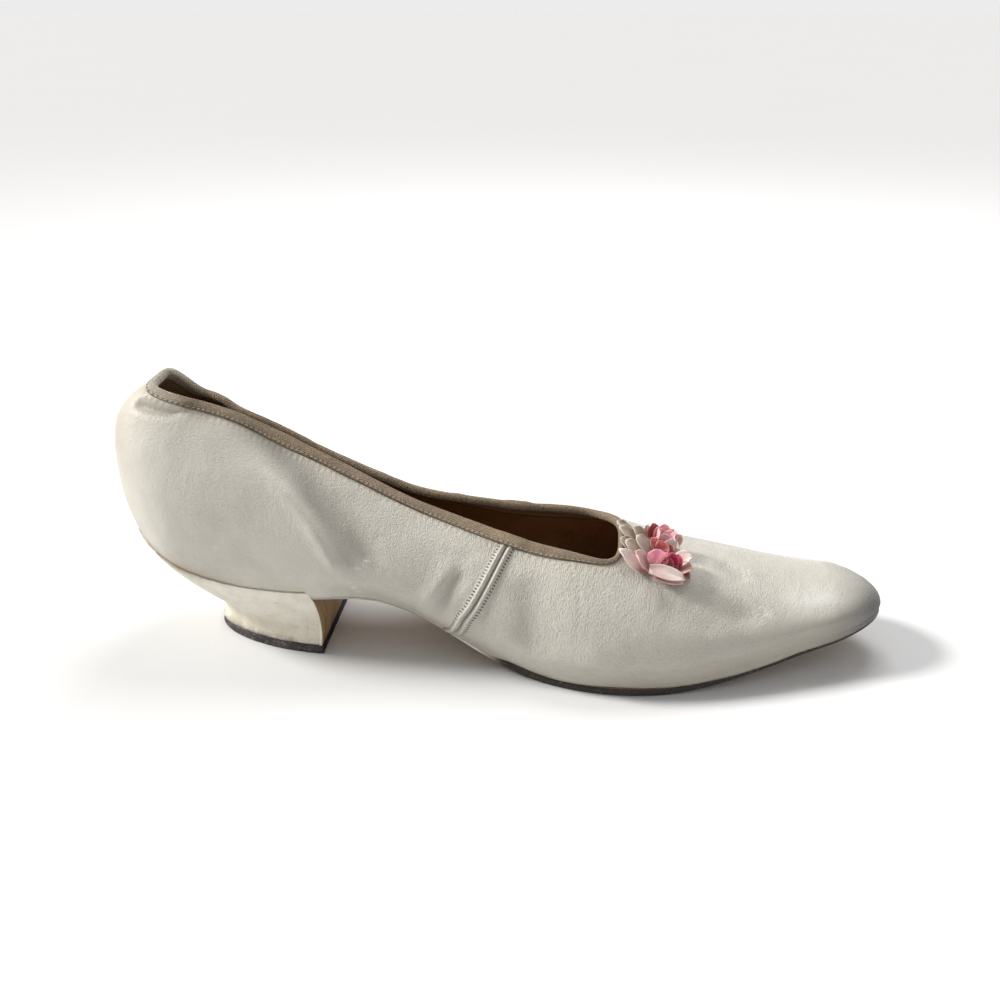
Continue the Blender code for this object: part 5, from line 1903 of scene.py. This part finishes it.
class PUMP_OT_upper(bpy.types.Operator):
    """Make the kid upper with its lining"""

    bl_idname = "pump.upper"
    bl_label = "Kid Upper"

    def execute(self, context):
        make_upper()
        return {"FINISHED"}


class PUMP_OT_binding(bpy.types.Operator):
    """Make the tape over the opening's edge"""

    bl_idname = "pump.binding"
    bl_label = "Binding Tape"

    def execute(self, context):
        make_binding()
        return {"FINISHED"}


class PUMP_OT_stitches(bpy.types.Operator):
    """Lay the stitches of the tape and of the side seams"""

    bl_idname = "pump.stitches"
    bl_label = "Stitches"

    def execute(self, context):
        make_tape_stitches()
        make_seam_stitches()
        return {"FINISHED"}


class PUMP_OT_soles(bpy.types.Operator):
    """Make the sole and the sock"""

    bl_idname = "pump.soles"
    bl_label = "Sole and Sock"

    def execute(self, context):
        make_outsole()
        make_insole()
        return {"FINISHED"}


class PUMP_OT_heel(bpy.types.Operator):
    """Make the covered heel and its top lift"""

    bl_idname = "pump.heel"
    bl_label = "Heel and Lift"

    def execute(self, context):
        make_heel()
        make_lift()
        return {"FINISHED"}


class PUMP_OT_roses(bpy.types.Operator):
    """Make the two cloth roses"""

    bl_idname = "pump.roses"
    bl_label = "Roses"

    def execute(self, context):
        make_rose("cloth_rose_far", "far", ["rose_far"])
        make_rose("cloth_rose_near", "near", ["rose_near"])
        return {"FINISHED"}


class PUMP_OT_stage(bpy.types.Operator):
    """Set the floor, the lights and the camera"""

    bl_idname = "pump.stage"
    bl_label = "Stage"

    def execute(self, context):
        make_stage()
        return {"FINISHED"}


class PUMP_PT_panel(bpy.types.Panel):
    """Lists the pump's pieces and looks"""

    bl_label = "Pump"
    bl_idname = "PUMP_PT_panel"
    bl_space_type = "VIEW_3D"
    bl_region_type = "UI"
    bl_category = "Pump"

    def draw(self, context):
        layout = self.layout
        for operator in OPERATORS:
            layout.operator(operator.bl_idname)
        for group in (context.scene.pump_leather, context.scene.pump_trim, context.scene.pump_stage):
            box = layout.box()
            for name in group.__annotations__:
                box.prop(group, name)


GROUPS = (PumpLeather, PumpTrim, PumpStage)
OPERATORS = (
    PUMP_OT_upper,
    PUMP_OT_binding,
    PUMP_OT_stitches,
    PUMP_OT_soles,
    PUMP_OT_heel,
    PUMP_OT_roses,
    PUMP_OT_stage,
)


def register():
    for made in (*GROUPS, *OPERATORS, PUMP_PT_panel):
        bpy.utils.register_class(made)
    bpy.types.Scene.pump_leather = bpy.props.PointerProperty(type=PumpLeather)
    bpy.types.Scene.pump_trim = bpy.props.PointerProperty(type=PumpTrim)
    bpy.types.Scene.pump_stage = bpy.props.PointerProperty(type=PumpStage)


def unregister():
    del bpy.types.Scene.pump_stage
    del bpy.types.Scene.pump_trim
    del bpy.types.Scene.pump_leather
    for made in reversed((*GROUPS, *OPERATORS, PUMP_PT_panel)):
        bpy.utils.unregister_class(made)


def main():
    """Makes the stage and every piece."""
    register()
    bpy.ops.pump.stage()
    bpy.ops.pump.upper()
    bpy.ops.pump.binding()
    bpy.ops.pump.stitches()
    bpy.ops.pump.soles()
    bpy.ops.pump.heel()
    bpy.ops.pump.roses()


if __name__ == "__main__":
    main()
